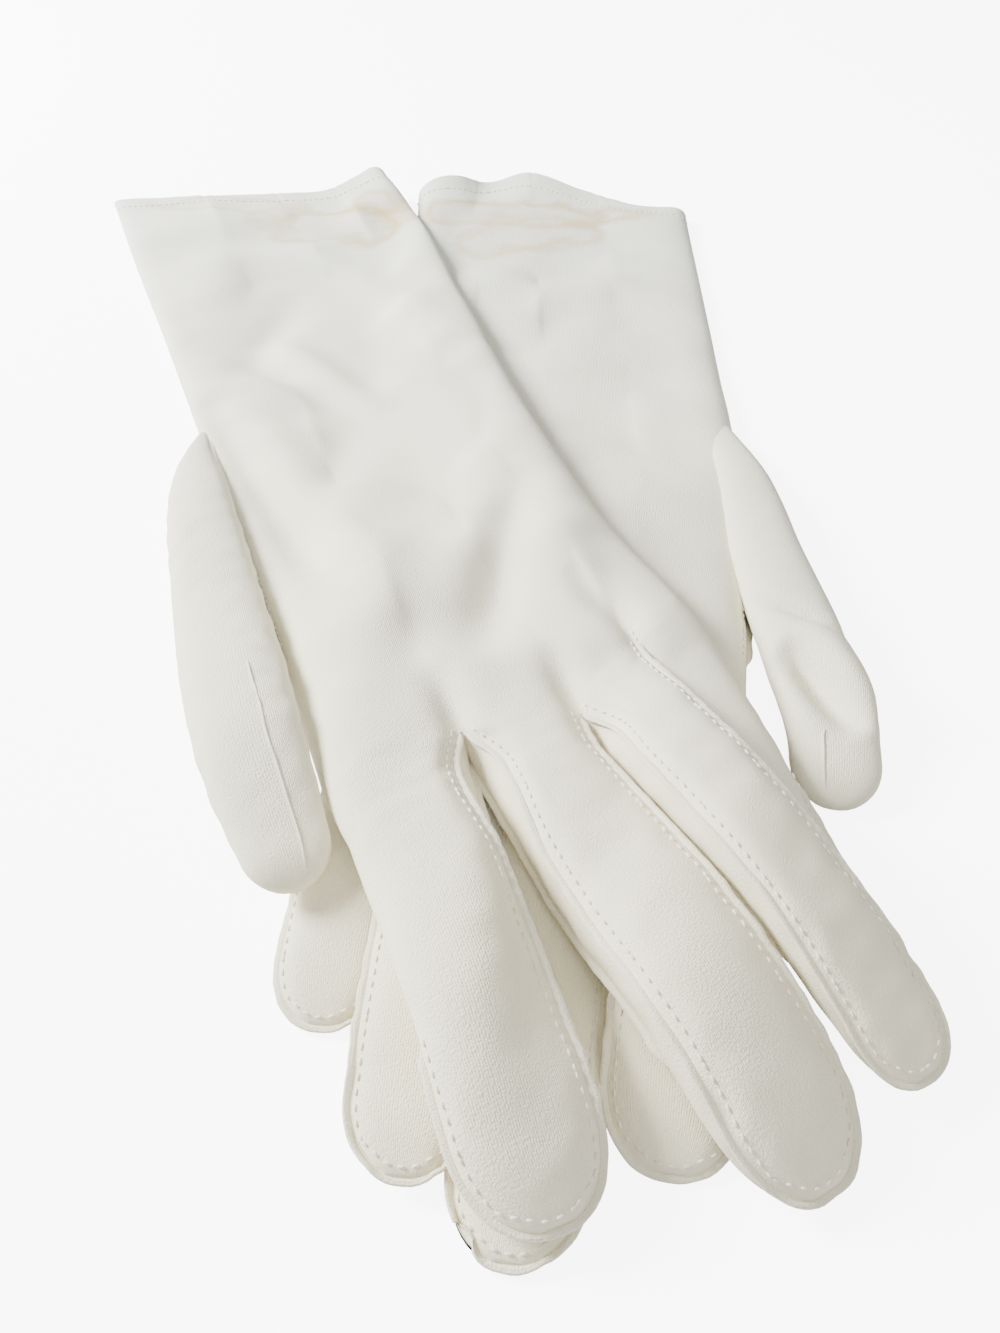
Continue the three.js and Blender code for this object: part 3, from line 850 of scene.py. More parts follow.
class SmoothCloth:
    """A sewn shape made smooth and creased, from which each panel is cut as a closed cloth."""

    LEVELS = 1
    EVENING = 3
    MOST_SINK = 0.35
    # How firmly the simulation holds each part, from loose to fixed.
    LOOSE, BACK_EDGE, SLACK_EDGE, KNUCKLES, REST = 0.06, 0.25, 0.5, 0.6, 0.9

    def __init__(self, lay: GloveLay, sewn: Sewn) -> None:
        """Smooths the shape, lays its folds on it and keeps its arrays.

        Args:
            lay: How the glove lies, with its folds.
            sewn: The coarse shape.
        """
        self.lay, self.sewn = lay, sewn
        self.names = sorted(set(sewn.panels))
        mesh = self._smoothed()
        self.co = self._read(mesh.vertices, "co", 3) / MM
        self.corners = [tuple(p.vertices) for p in mesh.polygons]
        self.loops = [tuple(p.loop_indices) for p in mesh.polygons]
        self.panel = np.zeros(len(mesh.polygons), int)
        mesh.attributes["panel"].data.foreach_get("value", self.panel)
        self.uv = self._read(mesh.uv_layers[0].data, "uv", 2)
        self._fold(self._read(mesh.vertices, "normal", 3))
        mesh.vertices.foreach_set("co", (self.co * MM).ravel())
        mesh.update()
        self.normal = self._read(mesh.vertices, "normal", 3)
        bpy.data.meshes.remove(mesh)

    @staticmethod
    def _read(items: Iterable, name: str, width: int) -> np.ndarray:
        """One property of every item as an array."""
        values = np.zeros(len(items) * width)
        items.foreach_get(name, values)
        return values.reshape(-1, width)

    def _smoothed(self) -> bpy.types.Mesh:
        """The sewn shape as a subdivided mesh, with its panel numbers and flat coordinates."""
        mesh = bpy.data.meshes.new(f"{self.lay.name}_sewn")
        mesh.from_pydata((self.sewn.all_points() * MM).tolist(), [], self.sewn.faces)
        numbers = mesh.attributes.new("panel", "INT", "FACE")
        numbers.data.foreach_set("value", [self.names.index(p) for p in self.sewn.panels])
        layer = mesh.uv_layers.new(name="cloth")
        flat = [value * MM for face in self.sewn.flats for corner in face for value in corner]
        layer.data.foreach_set("uv", flat)
        obj = bpy.data.objects.new(mesh.name, mesh)
        bpy.context.scene.collection.objects.link(obj)
        settled = ClothRelaxer(self.lay.slack).relax(obj, self._hold())
        settled = self._softened(settled)
        mesh.vertices.foreach_set("co", settled.ravel())
        mesh.update()
        smoother = obj.modifiers.new("smooth", "SUBSURF")
        smoother.levels = smoother.render_levels = self.LEVELS
        graph = bpy.context.evaluated_depsgraph_get()
        made = bpy.data.meshes.new_from_object(obj.evaluated_get(graph))
        bpy.data.objects.remove(obj)
        bpy.data.meshes.remove(mesh)
        return made

    def _softened(self, settled: np.ndarray) -> np.ndarray:
        """Rounds off the sharpest buckles on the back of the glove, and lets none sink into the palm."""
        grid = np.array(self.sewn.upper)
        start = self.sewn.all_points() * MM
        move = (settled - start)[grid]
        for _ in range(self.EVENING):
            inner = move.copy()
            inner[1:-1, 1:-1] = (2 * move[1:-1, 1:-1] + move[:-2, 1:-1] + move[2:, 1:-1]
                                 + move[1:-1, :-2] + move[1:-1, 2:]) / 6
            move = inner
        lowest = -self.MOST_SINK * (start[grid][:, 1:-1, 2] - start[self.sewn.under][..., 2])
        move[:, 1:-1, 2] = np.maximum(move[:, 1:-1, 2], lowest)
        settled[grid] = start[grid] + move
        return settled

    def _hold(self) -> np.ndarray:
        """How firmly each coarse point keeps its place: loose on the back of the hand and sleeve."""
        hold = np.full(self.sewn.count, self.REST)
        loose = [i for f, p in zip(self.sewn.faces, self.sewn.panels) if p == "hand" for i in f]
        hold[loose] = self.BACK_EDGE
        hold[self.sewn.under] = 1.0
        top = np.array(self.sewn.upper)
        hold[top] = self.LOOSE
        hold[top[:2]] = self.SLACK_EDGE
        hold[top[-3:]] = self.KNUCKLES
        hold[top[:, [0, -1]]] = 1.0
        hold[top[:, [1, 2, -3, -2]]] = self.SLACK_EDGE
        for finger in FINGERS:
            for side in ("thumb_side", "little_side"):
                for line in ("back", "palm"):
                    hold[self.sewn.seams.get(f"{finger}_{side}_{line}", [])] = 1.0
            hold[self.sewn.seams[f"{finger}_tip"]] = 1.0
        return hold

    def _fold(self, normal: np.ndarray) -> None:
        """Adds the folds that lie across the upper cloth, and a slight unevenness all over."""
        s, t = Local(self.lay).place(self.co)
        shift = np.zeros(len(self.co))
        for fold in self.lay.folds:
            a, b = np.array(fold.start), np.array(fold.end)
            span = b - a
            k = ((s - a[0]) * span[0] + (t - a[1]) * span[1]) / (span @ span)
            near = np.clip(k, 0, 1)
            far = np.hypot(s - a[0] - near * span[0], t - a[1] - near * span[1])
            ends = np.sin(math.pi * np.clip((k + 0.12) / 1.24, 0, 1)) ** 0.8
            shift += fold.height * ends * np.exp(-((far / fold.width) ** 2))
        upward = np.clip(normal[:, 2] * 1.6 - 0.2, 0, 1)
        uneven = np.array([
            0.55 * noise.noise(Vector((x / 26, y / 34, 3.1)))
            + 0.22 * noise.noise(Vector((x / 9, y / 12, 7.7)))
            for x, y in zip(s, t)
        ])
        self.co += normal * (shift * upward + uneven * np.clip(normal[:, 2], 0, 1))[:, None]

    def cut(self, panel: str, thickness: float) -> tuple[bpy.types.Object, float]:
        """Cuts one panel out as a closed cloth.

        Args:
            panel: Name of the panel.
            thickness: Thickness of the cloth, in millimetres.

        Returns:
            The object, and the panel's area in square metres.
        """
        chosen = np.flatnonzero(self.panel == self.names.index(panel))
        used = sorted({v for i in chosen for v in self.corners[i]})
        number = {v: i for i, v in enumerate(used)}
        outer = self.co[used]
        inner = outer - self.normal[used] * thickness
        count = len(used)
        faces: list[tuple[int, ...]] = []
        uvs: list[np.ndarray] = []
        normals: list[np.ndarray] = []
        open_edges: dict[tuple[int, int], tuple[int, int]] = {}
        for i in chosen:
            corners, loops = self.corners[i], self.loops[i]
            for k, (v, loop) in enumerate(zip(corners, loops)):
                after = (k + 1) % len(corners)
                if (corners[after], v) in open_edges:
                    del open_edges[(corners[after], v)]
                else:
                    open_edges[(v, corners[after])] = (loop, loops[after])
            faces.append(tuple(number[v] for v in corners))
            uvs += [self.uv[loop] for loop in loops]
            normals += [self.normal[v] for v in corners]
        area = self._area(faces, outer)
        for i in chosen:
            corners, loops = self.corners[i][::-1], self.loops[i][::-1]
            faces.append(tuple(number[v] + count for v in corners))
            uvs += [self.uv[loop] for loop in loops]
            normals += [-self.normal[v] for v in corners]
        rims = len(faces)
        for (a, b), (first, last) in open_edges.items():
            a, b = number[a], number[b]
            faces.append((b, a, a + count, b + count))
            uvs += [self.uv[last], self.uv[first], self.uv[first], self.uv[last]]
            normals += [np.zeros(3)] * 4
        mesh = bpy.data.meshes.new(f"{self.lay.name}_{panel}_cloth")
        mesh.from_pydata((np.concatenate([outer, inner]) * MM).tolist(), [], faces)
        layer = mesh.uv_layers.new(name="cloth")
        layer.data.foreach_set("uv", np.concatenate(uvs))
        smooth = np.ones(len(faces), bool)
        smooth[rims:] = False
        mesh.polygons.foreach_set("use_smooth", smooth)
        mesh.normals_split_custom_set(np.array(normals).tolist())
        obj = bpy.data.objects.new(mesh.name, mesh)
        bpy.context.scene.collection.objects.link(obj)
        return obj, area

    @staticmethod
    def _area(faces: list[tuple[int, ...]], points: np.ndarray) -> float:
        """Area of the faces, in square metres, from points in millimetres."""
        total = 0.0
        for face in faces:
            corners = points[list(face)]
            for k in range(1, len(face) - 1):
                total += np.linalg.norm(np.cross(corners[k] - corners[0], corners[k + 1] - corners[0])) / 2
        return total * MM * MM

    def path(self, numbers: Sequence[int], step: float) -> tuple[np.ndarray, np.ndarray]:
        """A seam line as evenly spaced points, with the cloth's normal at each.

        Args:
            numbers: Numbers of the seam's points on the sewn shape.
            step: Distance between the points, in millimetres.

        Returns:
            The points in millimetres and the unit normals.
        """
        kept = [numbers[0]]
        for number in numbers[1:]:
            if np.linalg.norm(self.co[number] - self.co[kept[-1]]) > 0.05:
                kept.append(number)
        points, normals = self.co[kept], self.normal[kept]
        far = np.concatenate([[0], np.cumsum(np.linalg.norm(np.diff(points, axis=0), axis=1))])
        places = np.linspace(0, far[-1], max(int(far[-1] / step), 2) + 1)
        line = np.stack([Curve(tuple(zip(far, points[:, i]))).at(places) for i in range(3)], -1)
        out = np.stack([np.interp(places, far, normals[:, i]) for i in range(3)], -1)
        return line, out / np.linalg.norm(out, axis=1)[:, None]


@dataclass(frozen=True)
class Seam:
    """A seam line on the cloth with the directions that its edge and stitches need."""

    line: np.ndarray
    up: np.ndarray
    out: np.ndarray
    tangent: np.ndarray

    @classmethod
    def along(cls, line: np.ndarray, normal: np.ndarray, tilt: float) -> "Seam":
        """Works out the directions of a seam.

        Args:
            line: Points of the seam, in millimetres.
            normal: Normal of the cloth at each point.
            tilt: How far the seam's edge leans up, from 0 for flat to 1 for the cloth's normal.
        """
        for _ in range(2):
            line = np.concatenate([line[:1], (line[:-2] + 2 * line[1:-1] + line[2:]) / 4, line[-1:]])
        tangent = np.gradient(line, axis=0)
        tangent /= np.linalg.norm(tangent, axis=1)[:, None]
        level = normal - np.array([0, 0, 1]) * normal[:, 2:] * (1 - tilt)
        level -= tangent * np.sum(level * tangent, axis=1)[:, None]
        size = np.linalg.norm(level, axis=1)[:, None]
        out = level / np.maximum(size, 1e-6)
        up = np.cross(tangent, out)
        up *= np.sign(up[:, 2:])
        return cls(line, up, out, tangent)


class SeamEdge:
    """The cut edge of the cloth that stands out beside a seam."""

    SIDES = 8
    STEP = 0.9
    PATCH = 0.55
    LOWEST = 0.1

    def __init__(self, width: float = 1.5, thickness: float = 0.6) -> None:
        """Keeps the edge's width and thickness, in millimetres."""
        self.width, self.thickness = width, thickness
        self.points: list[np.ndarray] = []
        self.faces: list[tuple[int, ...]] = []
        self.flats: list[tuple[float, float]] = []
        self.count = 0

    def add(self, seam: Seam, seed: float) -> None:
        """Adds the edge of one seam, a little uneven along its length.

        Args:
            seam: The seam.
            seed: Picks the unevenness.
        """
        angle = np.linspace(0, 2 * math.pi, self.SIDES, endpoint=False)
        across = np.sign(np.cos(angle)) * np.abs(np.cos(angle)) ** 0.55
        high = np.sign(np.sin(angle)) * np.abs(np.sin(angle)) ** 0.7
        rows = len(seam.line)
        ragged = np.array([noise.noise(Vector((i * 0.37, seed, 0.0))) for i in range(rows)])
        lean = np.array([noise.noise(Vector((i * 0.11, seed, 5.0))) for i in range(rows)])
        ends = smooth_step(np.minimum(np.arange(rows), np.arange(rows)[::-1]) / 3)
        width = self.width * (1 + 0.16 * ragged) * (0.3 + 0.7 * ends)
        middle = seam.line + seam.out * (width[:, None] * 0.5 - 0.5) + seam.up * (0.3 * lean[:, None] - 0.26)
        rings = (middle[:, None] + seam.out[:, None] * (across[None, :, None] * width[:, None, None] / 2)
                 + seam.up[:, None] * (high[None, :, None] * self.thickness / 2))
        rings[..., 2] = np.maximum(rings[..., 2], self.LOWEST)
        first = self.count
        self.points.append(rings.reshape(-1, 3))
        self.count += rows * self.SIDES
        side = np.cross(seam.tangent[0], seam.out[0]) @ seam.up[0]
        for i in range(rows - 1):
            for j in range(self.SIDES):
                a = first + i * self.SIDES + j
                b = first + i * self.SIDES + (j + 1) % self.SIDES
                quad = (a, a + self.SIDES, b + self.SIDES, b)
                x, y = j * self.PATCH, i * self.STEP
                flat = [(x, y), (x, y + self.STEP), (x + self.PATCH, y + self.STEP), (x + self.PATCH, y)]
                self.faces.append(quad if side < 0 else quad[::-1])
                self.flats += flat if side < 0 else flat[::-1]
        start = tuple(range(first, first + self.SIDES))
        last = tuple(range(first + (rows - 1) * self.SIDES, first + rows * self.SIDES))
        self.faces.append(start if side < 0 else start[::-1])
        self.faces.append(last[::-1] if side < 0 else last)
        self.flats += [(0.0, 0.0)] * (2 * self.SIDES)

    def build(self, name: str) -> bpy.types.Object:
        """The edges as one mesh object."""
        mesh = bpy.data.meshes.new(name)
        mesh.from_pydata((np.concatenate(self.points) * MM).tolist(), [], self.faces)
        mesh.polygons.foreach_set("use_smooth", [True] * len(self.faces))
        layer = mesh.uv_layers.new(name="cloth")
        layer.data.foreach_set("uv", [value * MM for corner in self.flats for value in corner])
        obj = bpy.data.objects.new(name, mesh)
        bpy.context.scene.collection.objects.link(obj)
        return obj


@dataclass(frozen=True)
class StitchSizes:
    """Sizes of a row of stitches, in millimetres."""

    pitch: float = 1.7
    length: float = 1.05
    thread: float = 0.42
    proud: float = 0.1


class StitchRows:
    """Rows of stitches, laid by Geometry Nodes on points that carry the seam's directions."""

    def __init__(self, sizes: StitchSizes, thread: bpy.types.Material) -> None:
        """Keeps the sizes and the thread's material."""
        self.sizes, self.thread = sizes, thread
        self.tree = self._tree()

    def _tree(self) -> bpy.types.GeometryNodeTree:
        """The node tree that puts one stitch on each point."""
        tree = bpy.data.node_groups.new("stitch_rows", "GeometryNodeTree")
        face = tree.interface
        face.new_socket("Geometry", in_out="INPUT", socket_type="NodeSocketGeometry")
        for name in ("Length", "Thread"):
            face.new_socket(name, in_out="INPUT", socket_type="NodeSocketFloat")
        face.new_socket("Material", in_out="INPUT", socket_type="NodeSocketMaterial")
        face.new_socket("Geometry", in_out="OUTPUT", socket_type="NodeSocketGeometry")
        node, link = tree.nodes.new, tree.links.new
        start, end = node("NodeGroupInput"), node("NodeGroupOutput")
        points = node("GeometryNodeMeshToPoints")
        stitch = node("GeometryNodeMeshUVSphere")
        stitch.inputs["Segments"].default_value = 6
        stitch.inputs["Rings"].default_value = 4
        stitch.inputs["Radius"].default_value = 1.0
        size = node("ShaderNodeCombineXYZ")
        half_thread, half_length = node("ShaderNodeMath"), node("ShaderNodeMath")
        for half, name in ((half_thread, "Thread"), (half_length, "Length")):
            half.operation = "MULTIPLY"
            half.inputs[1].default_value = 0.5
            link(start.outputs[name], half.inputs[0])
        link(half_thread.outputs[0], size.inputs["X"])
        link(half_thread.outputs[0], size.inputs["Y"])
        link(half_length.outputs[0], size.inputs["Z"])
        along, up = node("GeometryNodeInputNamedAttribute"), node("GeometryNodeInputNamedAttribute")
        along.data_type = up.data_type = "FLOAT_VECTOR"
        along.inputs["Name"].default_value = "along"
        up.inputs["Name"].default_value = "up"
        aim, lay = node("FunctionNodeAlignRotationToVector"), node("FunctionNodeAlignRotationToVector")
        aim.axis, lay.axis = "Z", "X"
        lay.pivot_axis = "Z"
        place, real = node("GeometryNodeInstanceOnPoints"), node("GeometryNodeRealizeInstances")
        shade, paint = node("GeometryNodeSetShadeSmooth"), node("GeometryNodeSetMaterial")
        link(start.outputs["Geometry"], points.inputs["Mesh"])
        link(along.outputs["Attribute"], aim.inputs["Vector"])
        link(aim.outputs["Rotation"], lay.inputs["Rotation"])
        link(up.outputs["Attribute"], lay.inputs["Vector"])
        link(points.outputs["Points"], place.inputs["Points"])
        link(stitch.outputs["Mesh"], place.inputs["Instance"])
        link(lay.outputs["Rotation"], place.inputs["Rotation"])
        link(size.outputs["Vector"], place.inputs["Scale"])
        link(place.outputs["Instances"], real.inputs["Geometry"])
        link(real.outputs["Geometry"], shade.inputs["Geometry"])
        link(shade.outputs["Geometry"], paint.inputs["Geometry"])
        link(start.outputs["Material"], paint.inputs["Material"])
        link(paint.outputs["Geometry"], end.inputs["Geometry"])
        return tree

    def build(self, name: str, seams: Sequence[Seam]) -> bpy.types.Object:
        """Makes the stitches of several seams as one mesh object.

        Args:
            name: Name of the object.
            seams: The seams to stitch.
        """
        points, along, up = [], [], []
        for seam in seams:
            far = np.concatenate([[0], np.cumsum(np.linalg.norm(np.diff(seam.line, axis=0), axis=1))])
            places = np.arange(self.sizes.pitch / 2, far[-1], self.sizes.pitch)
            at = np.clip(np.searchsorted(far, places), 0, len(far) - 1)
            line = seam.line + seam.out * self.sizes.proud
            for axis, values in ((points, line), (along, seam.tangent), (up, seam.out)):
                axis.append(values[at])
        base = bpy.data.meshes.new(f"{name}_points")
        base.from_pydata((np.concatenate(points) * MM).tolist(), [], [])
        for label, values in (("along", along), ("up", up)):
            attribute = base.attributes.new(label, "FLOAT_VECTOR", "POINT")
            attribute.data.foreach_set("vector", np.concatenate(values).ravel())
        obj = bpy.data.objects.new(name, base)
        bpy.context.scene.collection.objects.link(obj)
        rows = obj.modifiers.new("stitches", "NODES")
        rows.node_group = self.tree
        values = {"Length": self.sizes.length * MM, "Thread": self.sizes.thread * MM, "Material": self.thread}
        for item in self.tree.interface.items_tree:
            if item.in_out == "INPUT" and item.name in values:
                rows[item.identifier] = values[item.name]
        graph = bpy.context.evaluated_depsgraph_get()
        made = bpy.data.meshes.new_from_object(obj.evaluated_get(graph))
        obj.modifiers.clear()
        obj.data = made
        made.name = name
        bpy.data.meshes.remove(base)
        return obj


class GroupBuilder:
    """Makes a shader node group with named inputs and outputs."""

    def __init__(self, name: str) -> None:
        """Starts an empty group."""
        self.tree = bpy.data.node_groups.new(name, "ShaderNodeTree")
        self.start = self.tree.nodes.new("NodeGroupInput")
        self.end = self.tree.nodes.new("NodeGroupOutput")

    def takes(self, kind: str, **values: float) -> None:
        """Adds inputs of one kind, each with its usual value."""
        for name, value in values.items():
            socket = self.tree.interface.new_socket(name, in_out="INPUT", socket_type=f"NodeSocket{kind}")
            if kind != "Vector":
                socket.default_value = value

    def gives(self, kind: str, *names: str) -> None:
        """Adds outputs of one kind."""
        for name in names:
            self.tree.interface.new_socket(name, in_out="OUTPUT", socket_type=f"NodeSocket{kind}")

    def math(self, operation: str, *values: object) -> bpy.types.NodeSocket:
        """A math node over sockets or numbers."""
        node = self.tree.nodes.new("ShaderNodeMath")
        node.operation = operation
        for i, value in enumerate(values):
            if isinstance(value, (int, float)):
                node.inputs[i].default_value = value
            else:
                self.tree.links.new(value, node.inputs[i])
        return node.outputs[0]

    def noise(self, scale: float, detail: float) -> bpy.types.NodeSocket:
        """A noise texture's value, from 0 to 1, over the group's place."""
        node = self.tree.nodes.new("ShaderNodeTexNoise")
        node.inputs["Scale"].default_value = scale
        node.inputs["Detail"].default_value = detail
        self.tree.links.new(self.start.outputs["Place"], node.inputs["Vector"])
        return node.outputs["Fac"]

    def out(self, name: str, socket: bpy.types.NodeSocket) -> None:
        """Connects an output."""
        self.tree.links.new(socket, self.end.inputs[name])


def ribbed_cloth_group() -> bpy.types.ShaderNodeTree:
    """Fine lengthwise ribs with uneven yarn and fuzz, as a height from 0 to 1."""
    group = GroupBuilder("Ribbed cloth")
    group.takes("Vector", Place=0.0)
    group.takes("Float", Pitch=0.0004, Fuzz=1.7)
    group.gives("Float", "Height", "Groove")
    split = group.tree.nodes.new("ShaderNodeSeparateXYZ")
    group.tree.links.new(group.start.outputs["Place"], split.inputs[0])
    wander = group.math("MULTIPLY", group.noise(900.0, 1.0), 0.35)
    turns = group.math("DIVIDE", split.outputs["X"], group.start.outputs["Pitch"])
    wave = group.math("SINE", group.math("MULTIPLY", group.math("ADD", turns, wander), 2 * math.pi))
    rib = group.math("ADD", group.math("MULTIPLY", wave, 0.5), 0.5)
    loop = group.math("MULTIPLY", group.start.outputs["Pitch"], 1.3)
    length = group.math("DIVIDE", split.outputs["Y"], loop)
    knit = group.math("SINE", group.math("MULTIPLY", group.math("ADD", length, turns), 2 * math.pi))
    yarn = group.math("MULTIPLY", group.math("ADD", knit, 1.0), 0.12)
    fuzz = group.noise(2800.0, 2.0)
    rough = group.math("MULTIPLY", fuzz, group.start.outputs["Fuzz"])
    ribs = group.math("MULTIPLY", group.math("ADD", rib, yarn), 0.3)
    group.out("Height", group.math("ADD", ribs, rough))
    group.out("Groove", group.math("SUBTRACT", 1.0, rib))
    return group.tree


def water_stain_group() -> bpy.types.ShaderNodeTree:
    """A dried water mark: a pale middle and a darker, uneven rim, as a mask."""
    group = GroupBuilder("Water stain")
    group.takes("Vector", Place=0.0, Centre=0.0)
    group.takes("Float", Reach=0.02, Stretch=1.0, Rim=0.4)
    group.gives("Float", "Mask")
    nodes, links = group.tree.nodes, group.tree.links
    away = nodes.new("ShaderNodeVectorMath")
    away.operation = "SUBTRACT"
    links.new(group.start.outputs["Place"], away.inputs[0])
    links.new(group.start.outputs["Centre"], away.inputs[1])
    split = nodes.new("ShaderNodeSeparateXYZ")
    links.new(away.outputs[0], split.inputs[0])
    y = group.math("MULTIPLY", split.outputs["Y"], group.start.outputs["Stretch"])
    squares = group.math("ADD", group.math("POWER", split.outputs["X"], 2.0), group.math("POWER", y, 2.0))
    far = group.math("DIVIDE", group.math("SQRT", squares), group.start.outputs["Reach"])
    ragged = group.math("MULTIPLY", group.math("SUBTRACT", group.noise(70.0, 4.0), 0.5), 2.2)
    edge = group.math("ADD", far, ragged)
    from_rim = group.math("ABSOLUTE", group.math("SUBTRACT", edge, 0.85))
    ring = group.math("SUBTRACT", 1.0, group.math("DIVIDE", from_rim, group.start.outputs["Rim"]))
    inside = group.math("MULTIPLY", group.math("LESS_THAN", edge, 0.9), 0.16)
    patchy = group.math("MULTIPLY", group.noise(38.0, 2.0), 1.5)
    broken = group.math("MULTIPLY", group.math("MAXIMUM", ring, 0.0), patchy)
    group.out("Mask", group.math("MAXIMUM", broken, inside))
    return group.tree


@dataclass(frozen=True)
class Stain:
    """One dried water mark on the cloth, in row-frame metres."""

    centre: tuple[float, float, float]
    reach: float
    stretch: float
    strength: float


@dataclass(frozen=True)
class RibbedNylon:
    """Off-white double-woven nylon with fine ribs, a little yellowed and water-marked, with painted shade in
    the grooves between the ribs.
    """

    name: str
    cool: tuple[float, float, float]
    warm: tuple[float, float, float]
    pitch: float = 0.00036
    stains: tuple[Stain, ...] = ()

    SURFACE = {"Roughness": 0.92, "Specular IOR Level": 0.22, "Sheen Weight": 0.12, "Sheen Roughness": 0.6}
    # The cool tone is at the sleeve and the warm one at the fingertips, at these places along Y.
    TONE_RUN = (-0.12, 0.13)
    WORN = (0.66, 0.63, 0.54)
    MARKED = (0.60, 0.45, 0.19)
    # Painted shade: the darker colour mixed in along the grooves between the ribs, for the shade that falls
    # in them, at the RIB_SHADE share.
    GROOVE_SHADE_COLOUR = (0.56, 0.53, 0.46)
    RIB_SHADE = 0.06
    RELIEF = {"Strength": 0.5, "Distance": 0.00022}

    def build(self, ribs: bpy.types.ShaderNodeTree, mark: bpy.types.ShaderNodeTree) -> bpy.types.Material:
        """Makes the material.

        Args:
            ribs: The ribbed cloth group.
            mark: The water stain group.
        """
        material = bpy.data.materials.new(self.name)
        material.use_nodes = True
        nodes, links = material.node_tree.nodes, material.node_tree.links
        shader = nodes["Principled BSDF"]
        for name, value in self.SURFACE.items():
            shader.inputs[name].default_value = value
        place = nodes.new("ShaderNodeTexCoord")
        tone = self._cloth_tone(nodes, links, place.outputs["Object"])
        for stain in self.stains:
            weight = self._stain_weight(nodes, links, place.outputs["Object"], mark, stain)
            tone = self._mix(nodes, links, weight, tone, self.MARKED)
        cloth = nodes.new("ShaderNodeGroup")
        cloth.node_tree = ribs
        cloth.inputs["Pitch"].default_value = self.pitch
        links.new(place.outputs["UV"], cloth.inputs["Place"])
        # Painted shade in the grooves between the ribs, mixed into the cloth's colour.
        groove_shade = nodes.new("ShaderNodeMath")
        groove_shade.operation = "MULTIPLY"
        groove_shade.inputs[1].default_value = self.RIB_SHADE
        links.new(cloth.outputs["Groove"], groove_shade.inputs[0])
        tone = self._mix(nodes, links, groove_shade.outputs[0], tone, self.GROOVE_SHADE_COLOUR)
        links.new(tone, shader.inputs["Base Color"])
        bump = nodes.new("ShaderNodeBump")
        for name, value in self.RELIEF.items():
            bump.inputs[name].default_value = value
        links.new(cloth.outputs["Height"], bump.inputs["Height"])
        links.new(bump.outputs["Normal"], shader.inputs["Normal"])
        return material

    def _cloth_tone(self, nodes: bpy.types.Nodes, links: bpy.types.NodeLinks,
                    place: bpy.types.NodeSocket) -> bpy.types.NodeSocket:
        """The colour of the clean cloth, from the sleeve to the fingertips, with worn patches."""
        split = nodes.new("ShaderNodeSeparateXYZ")
        links.new(place, split.inputs[0])
        shade = nodes.new("ShaderNodeMapRange")
        shade.inputs["From Min"].default_value, shade.inputs["From Max"].default_value = self.TONE_RUN
        links.new(split.outputs["Y"], shade.inputs["Value"])
        tone = self._mix(nodes, links, shade.outputs["Result"], self.warm, self.cool)
        clouds = nodes.new("ShaderNodeTexNoise")
        clouds.inputs["Scale"].default_value = 34.0
        clouds.inputs["Detail"].default_value = 4.0
        links.new(place, clouds.inputs["Vector"])
        thin = nodes.new("ShaderNodeMapRange")
        thin.inputs["From Min"].default_value = 0.42
        thin.inputs["From Max"].default_value = 0.78
        thin.inputs["To Max"].default_value = 0.32
        links.new(clouds.outputs["Fac"], thin.inputs["Value"])
        return self._mix(nodes, links, thin.outputs["Result"], tone, self.WORN)

    @staticmethod
    def _stain_weight(nodes: bpy.types.Nodes, links: bpy.types.NodeLinks, place: bpy.types.NodeSocket,
                      mark: bpy.types.ShaderNodeTree, stain: Stain) -> bpy.types.NodeSocket:
        """How strongly one water mark colours each place."""
        spot = nodes.new("ShaderNodeGroup")
        spot.node_tree = mark
        spot.inputs["Centre"].default_value = stain.centre
        spot.inputs["Reach"].default_value = stain.reach
        spot.inputs["Stretch"].default_value = stain.stretch
        links.new(place, spot.inputs["Place"])
        weight = nodes.new("ShaderNodeMath")
        weight.operation = "MULTIPLY"
        weight.inputs[1].default_value = stain.strength
        links.new(spot.outputs["Mask"], weight.inputs[0])
        return weight.outputs[0]

    @staticmethod
    def _mix(nodes: bpy.types.Nodes, links: bpy.types.NodeLinks, share: bpy.types.NodeSocket,
             first: object, second: object) -> bpy.types.NodeSocket:
        """Mixes two colours, each a socket or three numbers."""
        mix = nodes.new("ShaderNodeMix")
        mix.data_type = "RGBA"
        links.new(share, mix.inputs["Factor"])
        for socket, colour in ((mix.inputs[6], first), (mix.inputs[7], second)):
            if isinstance(colour, tuple):
                socket.default_value = (*colour, 1.0)
            else:
                links.new(colour, socket)
        return mix.outputs[2]


@dataclass(frozen=True)
class PlainFinish:
    """A plain matt finish with a slight unevenness, such as thread or a table top."""

    name: str
    colour: tuple[float, float, float]
    dark: tuple[float, float, float]
    roughness: float
    scale: float

    def build(self) -> bpy.types.Material:
        """Makes the material."""
        material = bpy.data.materials.new(self.name)
        material.use_nodes = True
        nodes, links = material.node_tree.nodes, material.node_tree.links
        shader = nodes["Principled BSDF"]
        shader.inputs["Roughness"].default_value = self.roughness
        shader.inputs["Specular IOR Level"].default_value = 0.25
        place, spread = nodes.new("ShaderNodeTexCoord"), nodes.new("ShaderNodeTexNoise")
        spread.inputs["Scale"].default_value = self.scale
        links.new(place.outputs["Object"], spread.inputs["Vector"])
        mix = nodes.new("ShaderNodeMix")
        mix.data_type = "RGBA"
        mix.inputs[6].default_value = (*self.colour, 1.0)
        mix.inputs[7].default_value = (*self.dark, 1.0)
        links.new(spread.outputs["Fac"], mix.inputs["Factor"])
        links.new(mix.outputs[2], shader.inputs["Base Color"])
        return material


